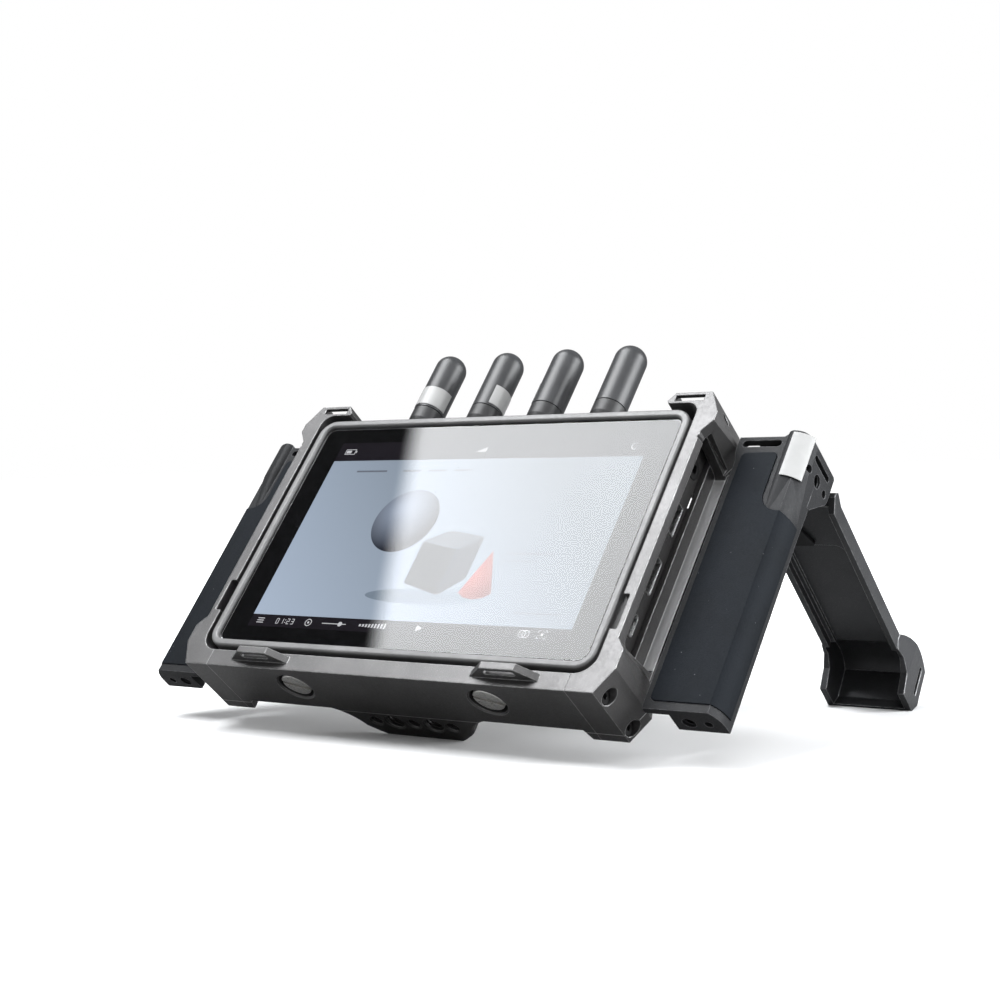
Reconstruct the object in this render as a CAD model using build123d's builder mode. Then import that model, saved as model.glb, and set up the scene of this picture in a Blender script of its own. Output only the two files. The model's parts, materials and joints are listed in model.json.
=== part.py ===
"""Seven inch video monitor in a cage with two side handles, whose backs fold out as legs.

Every piece is drawn upright, as seen from the front of the screen, in millimetres:
X to the right, Y backwards from the face of the glass, Z up the screen, with the
middle of the screen at the origin. The finished pieces are then leant back together
until the cage's rear tab and the ends of both legs stand on the same level floor.
"""
from build123d import *
from math import atan2, cos, degrees, radians, sin
import os

os.makedirs("parts", exist_ok=True)

# Screen, glass and rim
screen_width = 150.8
screen_height = 94.2
glass_border_side = 11.4
glass_border_end = 7.6
glass_thickness = 1.5
glass_corner = 4.0
rim_width = 3.6
rim_stand = 1.5
rim_round = 1.1
glass_gap = 0.15

# Display stack and housing, measured backwards from the glass
panel_border = 3.6
panel_thickness = 2.2
backlight_thickness = 2.6
frame_back = 4.9
frame_ledge = 2.0
chassis_thickness = 1.0
chassis_margin = 4.5
body_back = 18.6
shell_wall = 2.0
back_chamfer = 1.2
board_gap = 0.9
board_thickness = 1.6
board_width = 120.0
board_clearance = 0.84
board_side = 8.4
board_post_radius = 2.6
board_post_inset = 6.0
chip_size = 14.0
chip_height = 1.2
radio_margin = 34.4
radio_height = 18.0
shield_width = 64.0
shield_height = 13.0
shield_depth = 2.4
shield_wall = 0.4
shield_drop = 2.0

# Sockets on the right side of the monitor
socket_depth = 14.0
port_y = 12.6
headphone_drop = 17.9
headphone_ring = 4.0
headphone_bore = 1.8
usb_a_z = 17.0
usb_a_length = 13.2
usb_a_width = 5.6
hdmi_z = -8.6
hdmi_length = 15.2
hdmi_width = 5.6
usb_c_z = -30.5
usb_c_length = 9.2
usb_c_width = 3.4
socket_wall = 0.5
socket_proud = 0.2

# Power switch and inlet on the left side
button_z = 26.0
button_length = 10.0
button_width = 4.4
button_proud = 0.9
button_travel = 0.7
button_clearance = 0.2
button_flange = 1.0
inlet_z = -12.0
inlet_radius = 3.8
inlet_bore = 2.6
inlet_pin = 1.0

# Aerials along the top of the monitor
aerial_pitch = 30.0
aerial_y = 8.5
aerial_radius = 6.75
aerial_rise = 41.3
aerial_dome = 6.3
collar_rise = 9.9
collar_foot_radius = 5.3
collar_taper = 4.4
aerial_gap = 0.35
connector_radius = 3.1
connector_rise = 17.7
connector_depth = 4.0
connector_nut_radius = 4.4
connector_nut_height = 2.4
running_gap = 0.06
label_thickness = 0.2
label_gap = 1.3
label_height = 9.5

# Battery plate on the back of the housing
plate_width = 46.0
plate_height = 78.0
plate_thickness = 3.0
rail_height = 3.2
rail_width = 3.0
rail_lip = 1.6
contact_pitch = 9.0
contact_radius = 1.2
latch_width = 16.0
latch_height = 8.0
latch_travel = 3.0
latch_proud = 2.4
latch_gap = 0.3

# Cooling: a radial fan, a finned heat sink and slots in the housing's back
fan_inset = 28.4
fan_z = 14.0
fan_size = 34.0
fan_bore = 15.2
fan_thickness = 6.0
rotor_radius = 14.4
rotor_hub = 6.5
rotor_blades = 9
rotor_shaft = 1.0
vent_count = 7
vent_pitch = 4.0
vent_width = 2.0
vent_length = 26.0
sink_width = 60.0
sink_height = 30.0
sink_z = 14.0
sink_base = 1.4
sink_fin = 1.0
sink_fins = 12

# Cage: two side frames on a bottom bar
side_gap = 1.6
bottom_gap = 2.2
side_wall = 4.7
bar_thickness = 7.2
cage_overhang = 10.9
seam_inset = 8.2
corner_out = 3.7
corner_chamfer = 5.2
corner_chamfer_rise = 10.3
upper_block_proud = 0.3
ear_slope_drop = 9.6
ear_slope_run = 5.0
lower_block_rise = 22.7
upper_block_drop = 19.2
cage_rise = 7.9
opening_corner = 8.0
front_flange = 4.5
window_start = 22.1
window_low_step = 3.2
window_stop = 16.6
window_high_step = 3.0
window_corner = 2.6
window_ledge = 0.8
recess_rise = 2.8
slant_lip = 1.2
rear_strip = 4.4
strip_gap = 0.4
strip_notch_drop = 27.8
strip_notch_height = 7.0
strip_notch_depth = 2.2
lip_depth = 4.3
notch_start = 18.8
notch_length = 14.9
notch_depth = 2.7
notch_corner = 0.8

# Ears over the monitor's upper corners, each with a strap bar
ear_length = 14.4
ear_gap = 2.9
ear_corner = 5.5
ear_depth = 17.0
ear_slope = 2.6
strap_bar = 1.7
strap_slot_floor = 0.9
strap_slot_roof = 1.2
strap_slot_wall = 3.0
strap_slot_reach = 1.0
strap_pocket = 5.5
ear_hole_y = 9.4
ear_hole_depth = 5.0

# Bottom bar: rear edge, tab with threaded holes, seat and loops
bar_step = 5.7
foot_inset = 3.3
foot_slope = 1.6
tab_root_x = 39.0
tab_mid_x = 26.0
tab_mid_reach = 10.2
tab_end_x = 20.0
tab_reach = 16.0
tab_thickness = 6.0
hole_inset = 9.0
small_hole_x = 18.2
large_hole_x = 9.2
small_thread = 2.6
large_thread = 4.0
mouth_chamfer = 0.6
seat_front = 4.0
seat_back = 16.0
seat_inner = 24.0
seat_inset = 13.8
loop_x = 57.5
loop_base = 29.0
loop_end = 14.5
loop_reach = 6.0
loop_thickness = 2.8
loop_drop = 1.4
loop_slot_length = 13.5
loop_slot_width = 2.4
loop_wall = 1.5

# Coin screws that hold the monitor down
coin_x = 45.5
coin_y = 10.5
coin_recess_radius = 7.5
coin_recess_depth = 4.0
coin_head_radius = 6.25
coin_head_height = 3.2
coin_slot = 1.6
coin_slot_depth = 1.3
coin_shank = 2.9
coin_engagement = 6.5
bush_radius = 4.6
bush_height = 7.2

# Facets that slant the cage's corner blocks back to its rear lip
lower_slant_height = 11.5
upper_slant_height = 9.0

# Cap screws, through the cage's lower corners
corner_screw_y = (6.0, 25.6)
cap_head_radius = 2.75
cap_head_height = 3.0
cap_shank = 1.45
cap_socket = 1.25
cap_socket_depth = 1.6
cap_head_inset = 5.2
cap_length = 20.0
cap_clearance = 0.35

# Handle: a front skin with a thick outer rib and a hinge block at its top
handle_gap = 6.9
handle_width = 28.9
handle_depth = 12.1
handle_back_step = 1.2
handle_skin = 3.0
rib_width = 19.5
handle_drop = 3.2
handle_rise = 0.3
crease_inset = 3.5
crease_depth = 9.0
handle_hole_inset = 13.6
pin_hole_inset = 6.1
handle_hole_step = 4.7
handle_hole_depth = 10.0
locating_radius = 1.6
locating_depth = 4.0
top_slot_inset = 0.6
top_slot_wall = 1.3
top_slot_drop = 3.2
top_slot_height = 3.0
handle_top_reach = 1.2

# Hinge block and thumb boss at the head of the handle
block_width = 23.4
block_proud = 0.5
block_depth = 10.1
block_inset = 1.4
block_rise = 1.4
block_edge_drop = 4.3
block_height = 26.4
nose_radius = 4.7
cheek_wall_inner = 4.3
cheek_wall_outer = 8.9
boss_width = 10.9
boss_crest_inset = 7.7
boss_crest_proud = 1.8
boss_side_step = 4.0
boss_sag = 0.24
boss_length = 40.5
boss_sunk = 0.6
boss_full_length = 17.0
boss_top_round = 4.2
grip_label_drop = 21.0
grip_label_margin = 0.8
grip_label_inset = 0.9
side_hole_drop = 14.0
side_hole_step = 1.0
side_hole_pitch = 7.4
side_hole_depth = 7.0
side_slot_drop = 7.6
side_slot_front = 7.6
side_slot_rear = 6.7
side_slot_height = 2.5

# Rubber grip let into the handle
grip_depth = 1.6
grip_proud = 0.4
grip_top_drop = 7.8
grip_bottom_rise = 3.3
grip_inset = 2.2
grip_notch_inset = 12.1
grip_notch_top_drop = 27.6
grip_notch_mid_inset = 3.3
grip_notch_mid_drop = 34.8
grip_notch_drop = 36.6
grip_side_step = 2.9
grip_corner = 2.0

# Bracket between cage and handle
bracket_low = -32.0
bracket_high = 32.0
bracket_flange = 3.6
bracket_flange_reach = 2.5
bracket_bend_gap = 4.9
bracket_arm_step = 3.2
bracket_neck_step = 0.4
bracket_clearance = 0.3
bracket_screw_z = (-22.0, 0.0, 22.0)
bracket_screw_step = 2.4
bracket_screw_depth = 8.0
handle_screw_z = (-16.0, 16.0)
handle_screw_sunk = 0.6
handle_screw_length = 16.0
handle_screw_step = 4.4

# Folding leg, in its own sizes: along the leg from the pivot, and out towards its back
pivot_step = 5.7
pivot_drop = 14.0
leg_open_droop = 3.9
leg_spread = 3.1
foot_spread = 4.2
leg_wall = 2.5
leg_back = 4.0
leg_rim = -2.0
leg_root = 5.3
leg_root_back = 6.2
leg_root_corner = 1.4
leg_root_top = 1.2
leg_root_slope = 6.5
leg_root_rim = 9.2
root_web = 3.2
leg_web = 1.8
root_inside = 7.6
pocket_start = 30.0
pocket_overlap = 8.0
pocket_width = 23.0
pocket_corner = 4.0
foot_overhang = 9.0
foot_length = 29.5
crown_inset = 13.5
foot_crown_back = 9.4
heel_inset = 2.3
foot_heel_back = 6.2
foot_end_rim = -9.0
tip_inset = 3.1
foot_rim = -14.0
foot_rim_length = 14.1
foot_step_length = 17.1
foot_step_rim = -5.6
foot_blend_length = 22.1
foot_wall = 2.8
foot_flare = 13.0
foot_slot_width = 2.2
foot_slot_low = -8.0
foot_slot_high = 5.0
tongue_radius = 4.6
tongue_gap = 0.25
tongue_reach = 10.0
hinge_pin_radius = 2.0
pin_seat_wall = 0.8
pin_head_wall = 4.6
pad_start = 11.9
pad_end = 29.0
pad_inner_reach = 12.0
pad_outer_reach = 1.6
pad_slope = 7.0
pad_height = 1.4

# Worked out from the sizes above
glass_width = screen_width + 2 * glass_border_side
glass_height = screen_height + 2 * glass_border_end
body_width = glass_width + 2 * rim_width
body_height = glass_height + 2 * rim_width
body_corner = glass_corner + rim_width
half_body = body_width / 2
half_height = body_height / 2
panel_width = screen_width + 2 * panel_border
panel_height = screen_height + 2 * panel_border
panel_back = glass_thickness + panel_thickness
backlight_back = panel_back + backlight_thickness
chassis_back = backlight_back + chassis_thickness
board_front = chassis_back + board_gap
board_back = board_front + board_thickness
housing_floor = body_back - shell_wall
cage_inner = half_body + side_gap
cage_outer = cage_inner + side_wall
block_x = cage_outer + corner_out
bar_top = -half_height - bottom_gap
bar_bottom = bar_top - bar_thickness
cage_front = -rim_stand
cap_screw_z = bar_bottom + bar_thickness / 2
cage_back = body_back + cage_overhang
lip_front = cage_back - lip_depth
cage_top = half_height + cage_rise
seam_x = cage_inner - seam_inset
upper_block_bottom = cage_top - upper_block_drop
lower_block_top = bar_bottom + lower_block_rise
window_low = bar_bottom + window_start
window_low_back = window_low + window_low_step
window_high = cage_top - window_stop
window_high_back = window_high - window_high_step
strip_notch_z = half_height - strip_notch_drop
notch_low = bar_top + notch_start
notch_high = notch_low + notch_length
ear_end = cage_inner - ear_length
ear_bottom = half_height + ear_gap
strap_slot_low = ear_bottom + strap_slot_floor
strap_slot_high = cage_top - strap_slot_roof
strap_slot_inner = ear_end + strap_slot_wall
strap_slot_outer = cage_inner + strap_slot_reach
bar_back = cage_back - bar_step
foot_x = seam_x - foot_inset
tab_mid_y = bar_back + tab_mid_reach
tab_back = bar_back + tab_reach
hole_y = tab_back - hole_inset
seat_outer = seam_x - seat_inset
loop_z = bar_top - loop_drop
cap_head_x = block_x - cap_head_inset
handle_inner = cage_outer + handle_gap
handle_outer = handle_inner + handle_width
handle_back = cage_back - handle_back_step
handle_front = handle_back - handle_depth
rib_inner = handle_outer - rib_width
handle_bottom = -half_height - handle_drop
handle_top = half_height + handle_rise
handle_hole_x = handle_outer - handle_hole_inset
handle_pin_hole_x = handle_outer - pin_hole_inset
handle_hole_y = handle_back - handle_hole_step
top_slot_inner = handle_inner + top_slot_inset
top_slot_z = handle_top - top_slot_drop
handle_top_inner = handle_inner - handle_top_reach
block_outer = handle_outer + block_proud
block_inner = block_outer - block_width
block_back = handle_back + block_depth
block_top = handle_top + block_rise
block_top_edge = block_top - block_edge_drop
block_foot_z = block_top - block_height
cheek_inner = block_inner + cheek_wall_inner
cheek_outer = block_outer - cheek_wall_outer
boss_inner = handle_outer - boss_width
boss_crest_x = handle_outer - boss_crest_inset
boss_crest_y = handle_front - boss_crest_proud
boss_side_y = handle_front + boss_side_step
boss_foot_z = block_top - boss_length
boss_full_z = block_top - boss_full_length
top_slot_outer = boss_inner - top_slot_wall
grip_label_low = block_top - grip_label_drop
grip_label_high = block_top - grip_label_margin
side_hole_z = block_top - side_hole_drop
side_hole_y = handle_back - side_hole_step
side_slot_z = block_top - side_slot_drop
side_slot_start = handle_back - side_slot_front
side_slot_end = handle_back + side_slot_rear
grip_top = handle_top - grip_top_drop
grip_bottom = handle_bottom + grip_bottom_rise
grip_inner = handle_inner + grip_inset
grip_notch_x = handle_outer - grip_notch_inset
grip_notch_top = handle_top - grip_notch_top_drop
grip_notch_mid_x = handle_outer - grip_notch_mid_inset
grip_notch_mid_z = handle_top - grip_notch_mid_drop
grip_notch_z = handle_top - grip_notch_drop
grip_side_y = handle_back - grip_side_step
bracket_flange_inner = cage_inner - bracket_flange_reach
bracket_bend = cage_outer + bracket_bend_gap
bracket_arm_front = handle_front + bracket_arm_step
bracket_neck_front = lip_front + bracket_neck_step
bracket_arm_inner = handle_inner + bracket_clearance
bracket_screw_x = cage_inner + bracket_screw_step
handle_screw_head_x = bracket_arm_inner + handle_screw_sunk
handle_screw_y = handle_back - handle_screw_step
pivot_y = handle_back + pivot_step
pivot_z = block_top - pivot_drop
hinge_pin_inner = block_inner + pin_seat_wall
hinge_pin_outer = block_outer - pin_head_wall
collar_top = half_height + collar_rise
aerial_top = half_height + aerial_rise
connector_top = half_height + connector_rise
label_bottom = collar_top + label_gap
leg_centre = (cheek_inner + cheek_outer) / 2
leg_width = handle_width + leg_spread
foot_width = leg_width + foot_spread
foot_end = pivot_z - handle_bottom + foot_overhang
foot_start = foot_end - foot_length
foot_crown = foot_end - crown_inset
foot_heel = foot_end - heel_inset
foot_tip = foot_end - tip_inset
foot_rim_start = foot_end - foot_rim_length
foot_step = foot_end - foot_step_length
foot_blend = foot_end - foot_blend_length
pocket_end = foot_start + pocket_overlap
pad_inner = leg_centre - pad_inner_reach
pad_outer = leg_centre + pad_outer_reach
fan_x = fan_inset - half_body
radio_width = body_width - 2 * radio_margin
radio_z = half_height - shell_wall - connector_nut_height - running_gap - radio_height / 2
board_height = 2 * (radio_z - radio_height / 2 - board_clearance)
board_shift = half_body - board_side - board_width / 2
headphone_z = half_height - headphone_drop
aerial_places = [-1.5 * aerial_pitch, -0.5 * aerial_pitch, 0.5 * aerial_pitch, 1.5 * aerial_pitch]


def facing(y):
    """Plane at depth y, drawn as seen from the front: right, then up the screen."""
    return Plane.XZ.offset(-y)


def side(x):
    """Plane at x, drawn backwards, then up the screen; it faces right."""
    return Plane.YZ.offset(x)


def level(z):
    """Plane at height z up the screen, drawn to the right, then backwards."""
    return Plane.XY.offset(z)


def leg_side(x):
    """Plane at x, drawn along the open leg, then towards its back; it faces right."""
    droop = radians(leg_open_droop)
    return Plane(origin=(x, pivot_y, pivot_z), x_dir=(0, cos(droop), -sin(droop)), z_dir=(1, 0, 0))


def leg_plan(back):
    """Plane over the open leg's middle line, drawn along the leg, then inwards; it faces the leg's back."""
    droop = radians(leg_open_droop)
    y, z = leg_point(0, back)
    facing_back = (0, sin(droop), cos(droop))
    return Plane(origin=(leg_centre, y, z), x_dir=(0, cos(droop), -sin(droop)), z_dir=facing_back)


def leg_point(along, back):
    """Depth and height up the screen of a point of the open leg."""
    droop = radians(leg_open_droop)
    y = pivot_y + along * cos(droop) + back * sin(droop)
    z = pivot_z - along * sin(droop) + back * cos(droop)
    return y, z


# Standing pose: the floor touches the tab's rear edge and the tips of both legs
tip_y, tip_z = leg_point(foot_tip, foot_rim)
lean = degrees(atan2(tip_z - bar_bottom, tip_y - tab_back))
floor_height = -tab_back * sin(radians(lean)) + bar_bottom * cos(radians(lean))
leg_end_y, leg_end_z = leg_point(foot_heel, foot_heel_back)
deepest = leg_end_y * cos(radians(lean)) + leg_end_z * sin(radians(lean))
loop_front = cage_front - loop_reach
foremost = loop_front * cos(radians(lean)) + (loop_z - loop_thickness) * sin(radians(lean))
standing = Location((0, -(deepest + foremost) / 2, -floor_height), (-lean, 0, 0))
written = []


def hand_in(piece, name):
    """Name a finished piece, lean it back with the others and write it."""
    piece.part.label = name
    stood = piece.part.moved(standing)
    stood.label = name
    export_step(stood, f"parts/{name}.step")
    written.append(name)


# Monitor: rim that frames the glass
with BuildPart() as front_frame:
    with BuildSketch(facing(frame_back)):
        RectangleRounded(body_width, body_height, body_corner)
    extrude(amount=frame_back + rim_stand)
    with BuildSketch(facing(glass_thickness)):
        RectangleRounded(glass_width + 2 * glass_gap, glass_height + 2 * glass_gap, glass_corner)
    extrude(amount=glass_thickness + rim_stand, mode=Mode.SUBTRACT)
    fillet(front_frame.edges().group_by(Axis.Y)[0], radius=rim_round)
    with BuildSketch(facing(frame_back)):
        RectangleRounded(panel_width + frame_ledge, panel_height + frame_ledge, frame_ledge)
    extrude(amount=frame_back - glass_thickness, mode=Mode.SUBTRACT)
    # room for the nuts of the aerials
    with BuildSketch(facing(frame_back)):
        with Locations([(x, half_height - shell_wall - connector_nut_height / 2) for x in aerial_places]):
            Rectangle(2 * connector_nut_radius + 0.6, connector_nut_height + 0.6)
    extrude(amount=frame_back - aerial_y + connector_nut_radius + 0.3, mode=Mode.SUBTRACT)
hand_in(front_frame, "front_frame")

with BuildPart() as cover_glass:
    with BuildSketch(facing(glass_thickness)):
        RectangleRounded(glass_width, glass_height, glass_corner)
    extrude(amount=glass_thickness)
hand_in(cover_glass, "cover_glass")

with BuildPart() as display_panel:
    with BuildSketch(facing(panel_back)):
        Rectangle(panel_width, panel_height)
    extrude(amount=panel_thickness)
hand_in(display_panel, "display_panel")

with BuildPart() as backlight:
    with BuildSketch(facing(backlight_back)):
        Rectangle(panel_width, panel_height)
    extrude(amount=backlight_thickness)
    chamfer(backlight.edges().filter_by(Axis.Y), length=frame_ledge / 2)
hand_in(backlight, "backlight")

# Chassis plate behind the display, which also carries the boards on its posts
post_x = board_width / 2 - board_post_inset
post_z = board_height / 2 - board_post_inset
post_places = [(x, z) for x in (-post_x, post_x) for z in (-post_z, post_z)]
with BuildPart() as chassis_plate:
    with BuildSketch(facing(chassis_back)):
        RectangleRounded(body_width - 2 * chassis_margin, body_height - 2 * chassis_margin, body_corner / 2)
    extrude(amount=chassis_thickness)
    with BuildSketch(facing(chassis_back)):
        with Locations([(board_shift + x, z) for x, z in post_places]):
            Circle(board_post_radius)
        with Locations([(way * (radio_width / 2 - board_post_inset), radio_z) for way in (-1, 1)]):
            Circle(board_post_radius)
    extrude(amount=-board_gap)
    with BuildSketch(level(-half_height)):
        with Locations((-coin_x, coin_y), (coin_x, coin_y)):
            Circle(bush_radius + glass_gap)
    extrude(amount=bush_height + glass_gap, mode=Mode.SUBTRACT)
hand_in(chassis_plate, "chassis_plate")

with BuildPart() as main_board:
    with BuildSketch(facing(board_back)):
        with Locations((board_shift, 0)):
            Rectangle(board_width, board_height)
    extrude(amount=board_thickness)
    with BuildSketch(facing(board_back)):
        with Locations((board_shift + 34, -20), (board_shift + 10, -22), (board_shift + 40, 8)):
            Rectangle(chip_size, chip_size)
    extrude(amount=-chip_height)
hand_in(main_board, "main_board")

# Radio board with its shield can, under the aerials
with BuildPart() as radio_board:
    with BuildSketch(facing(board_back)):
        with Locations((0, radio_z)):
            Rectangle(radio_width, radio_height)
    extrude(amount=board_thickness)
hand_in(radio_board, "radio_board")

with BuildPart() as radio_shield:
    with BuildSketch(facing(board_back)):
        with Locations((0, radio_z - shield_drop)):
            Rectangle(shield_width, shield_height)
    extrude(amount=-shield_depth)
    with BuildSketch(facing(board_back)):
        with Locations((0, radio_z - shield_drop)):
            Rectangle(shield_width - 2 * shield_wall, shield_height - 2 * shield_wall)
    extrude(amount=shield_wall - shield_depth, mode=Mode.SUBTRACT)
hand_in(radio_shield, "radio_shield")

# Heat sink: a base plate with fins that run up the screen
sink_back = housing_floor - 0.4
sink_front = board_back
with BuildPart() as heat_sink:
    with BuildSketch(facing(sink_front + sink_base)):
        with Locations((0, sink_z)):
            Rectangle(sink_width, sink_height)
    extrude(amount=sink_base)
    with BuildSketch(facing(sink_back)):
        with Locations((0, sink_z)):
            with GridLocations((sink_width - sink_fin) / (sink_fins - 1), 0, sink_fins, 1):
                Rectangle(sink_fin, sink_height)
    extrude(amount=sink_back - sink_front - sink_base)
hand_in(heat_sink, "heat_sink")

# Fan frame with its shaft, and the rotor that turns on it
fan_front = housing_floor - fan_thickness
with BuildPart() as fan_frame:
    with BuildSketch(facing(housing_floor)):
        with Locations((fan_x, fan_z)):
            RectangleRounded(fan_size, fan_size, 2.0)
            Circle(fan_bore, mode=Mode.SUBTRACT)
    extrude(amount=fan_thickness)
    with BuildSketch(facing(fan_front)):
        with Locations((fan_x, fan_z)):
            RectangleRounded(fan_size, fan_size, 2.0)
    extrude(amount=-0.8)
    with BuildSketch(facing(fan_front + 0.8)):
        with Locations((fan_x, fan_z)):
            Circle(rotor_shaft)
    extrude(amount=-(fan_thickness - 1.6))
hand_in(fan_frame, "fan_frame")

rotor_front = fan_front + 1.2
rotor_back = housing_floor - 0.5
with BuildPart() as fan_rotor:
    with BuildSketch(facing(rotor_back)):
        with Locations((fan_x, fan_z)):
            Circle(rotor_hub)
            with PolarLocations((rotor_hub + rotor_radius) / 2 - 0.3, rotor_blades, start_angle=10):
                Rectangle(rotor_radius - rotor_hub + 0.6, 1.2, rotation=24)
            Circle(rotor_shaft + running_gap, mode=Mode.SUBTRACT)
    extrude(amount=rotor_back - rotor_front)
hand_in(fan_rotor, "fan_rotor")


# Sockets: a metal or plastic shell along X behind an opening in the housing
def socket_shell(z, length, width, corner, tongue):
    """One flat socket on the right side, with a tongue in its mouth."""
    shell_front = half_body + socket_proud - socket_depth
    with BuildPart() as shell:
        with BuildSketch(side(shell_front)):
            with Locations((port_y, z)):
                RectangleRounded(width, length, corner)
        extrude(amount=socket_depth)
        with BuildSketch(side(shell_front + 3.0)):
            with Locations((port_y, z)):
                inner_corner = corner - 1.04 * socket_wall
                RectangleRounded(width - 2 * socket_wall, length - 2 * socket_wall, inner_corner)
        extrude(amount=socket_depth, mode=Mode.SUBTRACT)
        with BuildSketch(side(shell_front + 3.0)):
            with Locations((port_y, z)):
                Rectangle(tongue, length - 5 * socket_wall - 1.0)
        extrude(amount=socket_depth - 4.5)
    return shell


usb_a_socket = socket_shell(usb_a_z, usb_a_length, usb_a_width, 0.8, 1.6)
hand_in(usb_a_socket, "usb_a_socket")
hdmi_socket = socket_shell(hdmi_z, hdmi_length, hdmi_width, 1.4, 1.3)
hand_in(hdmi_socket, "hdmi_socket")
usb_c_socket = socket_shell(usb_c_z, usb_c_length, usb_c_width, 1.6, 0.8)
hand_in(usb_c_socket, "usb_c_socket")

with BuildPart() as headphone_jack:
    with BuildSketch(side(half_body - socket_depth + socket_proud)):
        with Locations((port_y, headphone_z)):
            Circle(headphone_ring)
    extrude(amount=socket_depth)
    with BuildSketch(side(half_body - socket_depth + 3.0)):
        with Locations((port_y, headphone_z)):
            Circle(headphone_bore)
    extrude(amount=socket_depth, mode=Mode.SUBTRACT)
hand_in(headphone_jack, "headphone_jack")

with BuildPart() as power_inlet:
    with BuildSketch(side(-half_body - socket_proud)):
        with Locations((port_y, inlet_z)):
            Circle(inlet_radius)
    extrude(amount=socket_depth)
    with BuildSketch(side(-half_body - socket_proud)):
        with Locations((port_y, inlet_z)):
            Circle(inlet_bore)
            Circle(inlet_pin, mode=Mode.SUBTRACT)
    extrude(amount=socket_depth - 3.0, mode=Mode.SUBTRACT)
hand_in(power_inlet, "power_inlet")

# Power button: cap, flange that keeps it behind the wall, and a switch under it
flange_outer = -half_body + shell_wall + button_clearance
flange_inner = flange_outer + button_flange
with BuildPart() as power_button:
    with BuildSketch(side(-half_body - button_proud)):
        with Locations((port_y, button_z)):
            RectangleRounded(button_width, button_length, button_width / 2 - 0.1)
    extrude(amount=button_proud + shell_wall + button_clearance)
    fillet(power_button.edges().group_by(Axis.X)[0], radius=0.4)
    with BuildSketch(side(flange_outer)):
        with Locations((port_y, button_z)):
            RectangleRounded(button_width + 2, button_length + 2, button_width / 2)
    extrude(amount=button_flange)
hand_in(power_button, "power_button")

with BuildPart() as power_switch:
    with BuildSketch(side(flange_inner + button_travel + button_clearance)):
        with Locations((port_y, button_z)):
            Rectangle(button_width + 1, button_length - 2)
    extrude(amount=3.4)
hand_in(power_switch, "power_switch")

# Housing: an open shell with the sockets' openings, vents and screw posts
screw_x = half_body - 9.0
screw_z = half_height - 9.0
screw_posts = [(x, z) for x in (-screw_x, screw_x) for z in (-screw_z, screw_z)]
post_radius = 3.0
housing_screw_radius = 1.2
with BuildPart() as rear_housing:
    with BuildSketch(facing(body_back)):
        RectangleRounded(body_width, body_height, body_corner)
    extrude(amount=body_back - frame_back)
    chamfer(rear_housing.edges().group_by(Axis.Y)[-1], length=back_chamfer)
    with BuildSketch(facing(housing_floor)):
        RectangleRounded(body_width - 2 * shell_wall, body_height - 2 * shell_wall, body_corner - shell_wall)
    extrude(amount=housing_floor - frame_back, mode=Mode.SUBTRACT)
    with BuildSketch(facing(housing_floor)):
        with Locations(screw_posts):
            Circle(post_radius)
    extrude(amount=housing_floor - chassis_back)
    with BuildSketch(facing(body_back)):
        with Locations(screw_posts):
            Circle(housing_screw_radius + 0.1)
    extrude(amount=body_back - chassis_back, mode=Mode.SUBTRACT)
    with BuildSketch(facing(body_back)):
        with Locations(screw_posts):
            Circle(2.4)
    extrude(amount=1.4, mode=Mode.SUBTRACT)
    with BuildSketch(side(half_body - shell_wall)):
        with Locations((port_y, headphone_z)):
            Circle(headphone_ring + glass_gap)
        with Locations((port_y, usb_a_z)):
            RectangleRounded(usb_a_width + 2 * glass_gap, usb_a_length + 2 * glass_gap, 0.9)
        with Locations((port_y, hdmi_z)):
            RectangleRounded(hdmi_width + 2 * glass_gap, hdmi_length + 2 * glass_gap, 1.5)
        with Locations((port_y, usb_c_z)):
            RectangleRounded(usb_c_width + 2 * glass_gap, usb_c_length + 2 * glass_gap, 1.7)
    extrude(amount=shell_wall, mode=Mode.SUBTRACT)
    with BuildSketch(side(-half_body)):
        with Locations((port_y, button_z)):
            RectangleRounded(button_width + 2 * button_clearance, button_length + 2 * button_clearance, 2.2)
        with Locations((port_y, inlet_z)):
            Circle(inlet_radius + glass_gap)
    extrude(amount=shell_wall, mode=Mode.SUBTRACT)
    with BuildSketch(level(half_height - shell_wall)):
        with Locations([(x, aerial_y) for x in aerial_places]):
            Circle(connector_radius + 0.1)
    extrude(amount=shell_wall, mode=Mode.SUBTRACT)
    with BuildSketch(facing(body_back)):
        with Locations((fan_x, fan_z)):
            with GridLocations(0, vent_pitch, 1, vent_count):
                SlotOverall(vent_length, vent_width)
    extrude(amount=shell_wall, mode=Mode.SUBTRACT)
    with BuildSketch(level(-half_height)):
        with Locations((-coin_x, coin_y), (coin_x, coin_y)):
            Circle(bush_radius)
    extrude(amount=shell_wall, mode=Mode.SUBTRACT)
hand_in(rear_housing, "rear_housing")


def screw(radius, length, head_radius, head_height, socket_radius, socket_deep):
    """Cap screw that points along -Z from its head's underside at the origin."""
    with BuildPart() as fastener:
        with BuildSketch(Plane.XY):
            Circle(head_radius)
        extrude(amount=head_height)
        with BuildSketch(Plane.XY):
            Circle(radius)
        extrude(amount=-length)
        with BuildSketch(Plane.XY.offset(head_height)):
            RegularPolygon(socket_radius, 6)
        extrude(amount=-socket_deep, mode=Mode.SUBTRACT)
    return fastener.part


with BuildPart() as housing_screws:
    for x, z in screw_posts:
        with Locations(Location((x, body_back - 1.4, z), (-90, 0, 0))):
            add(screw(housing_screw_radius, 7.0, 2.2, 1.2, 0.9, 0.7))
hand_in(housing_screws, "housing_screws")

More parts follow.
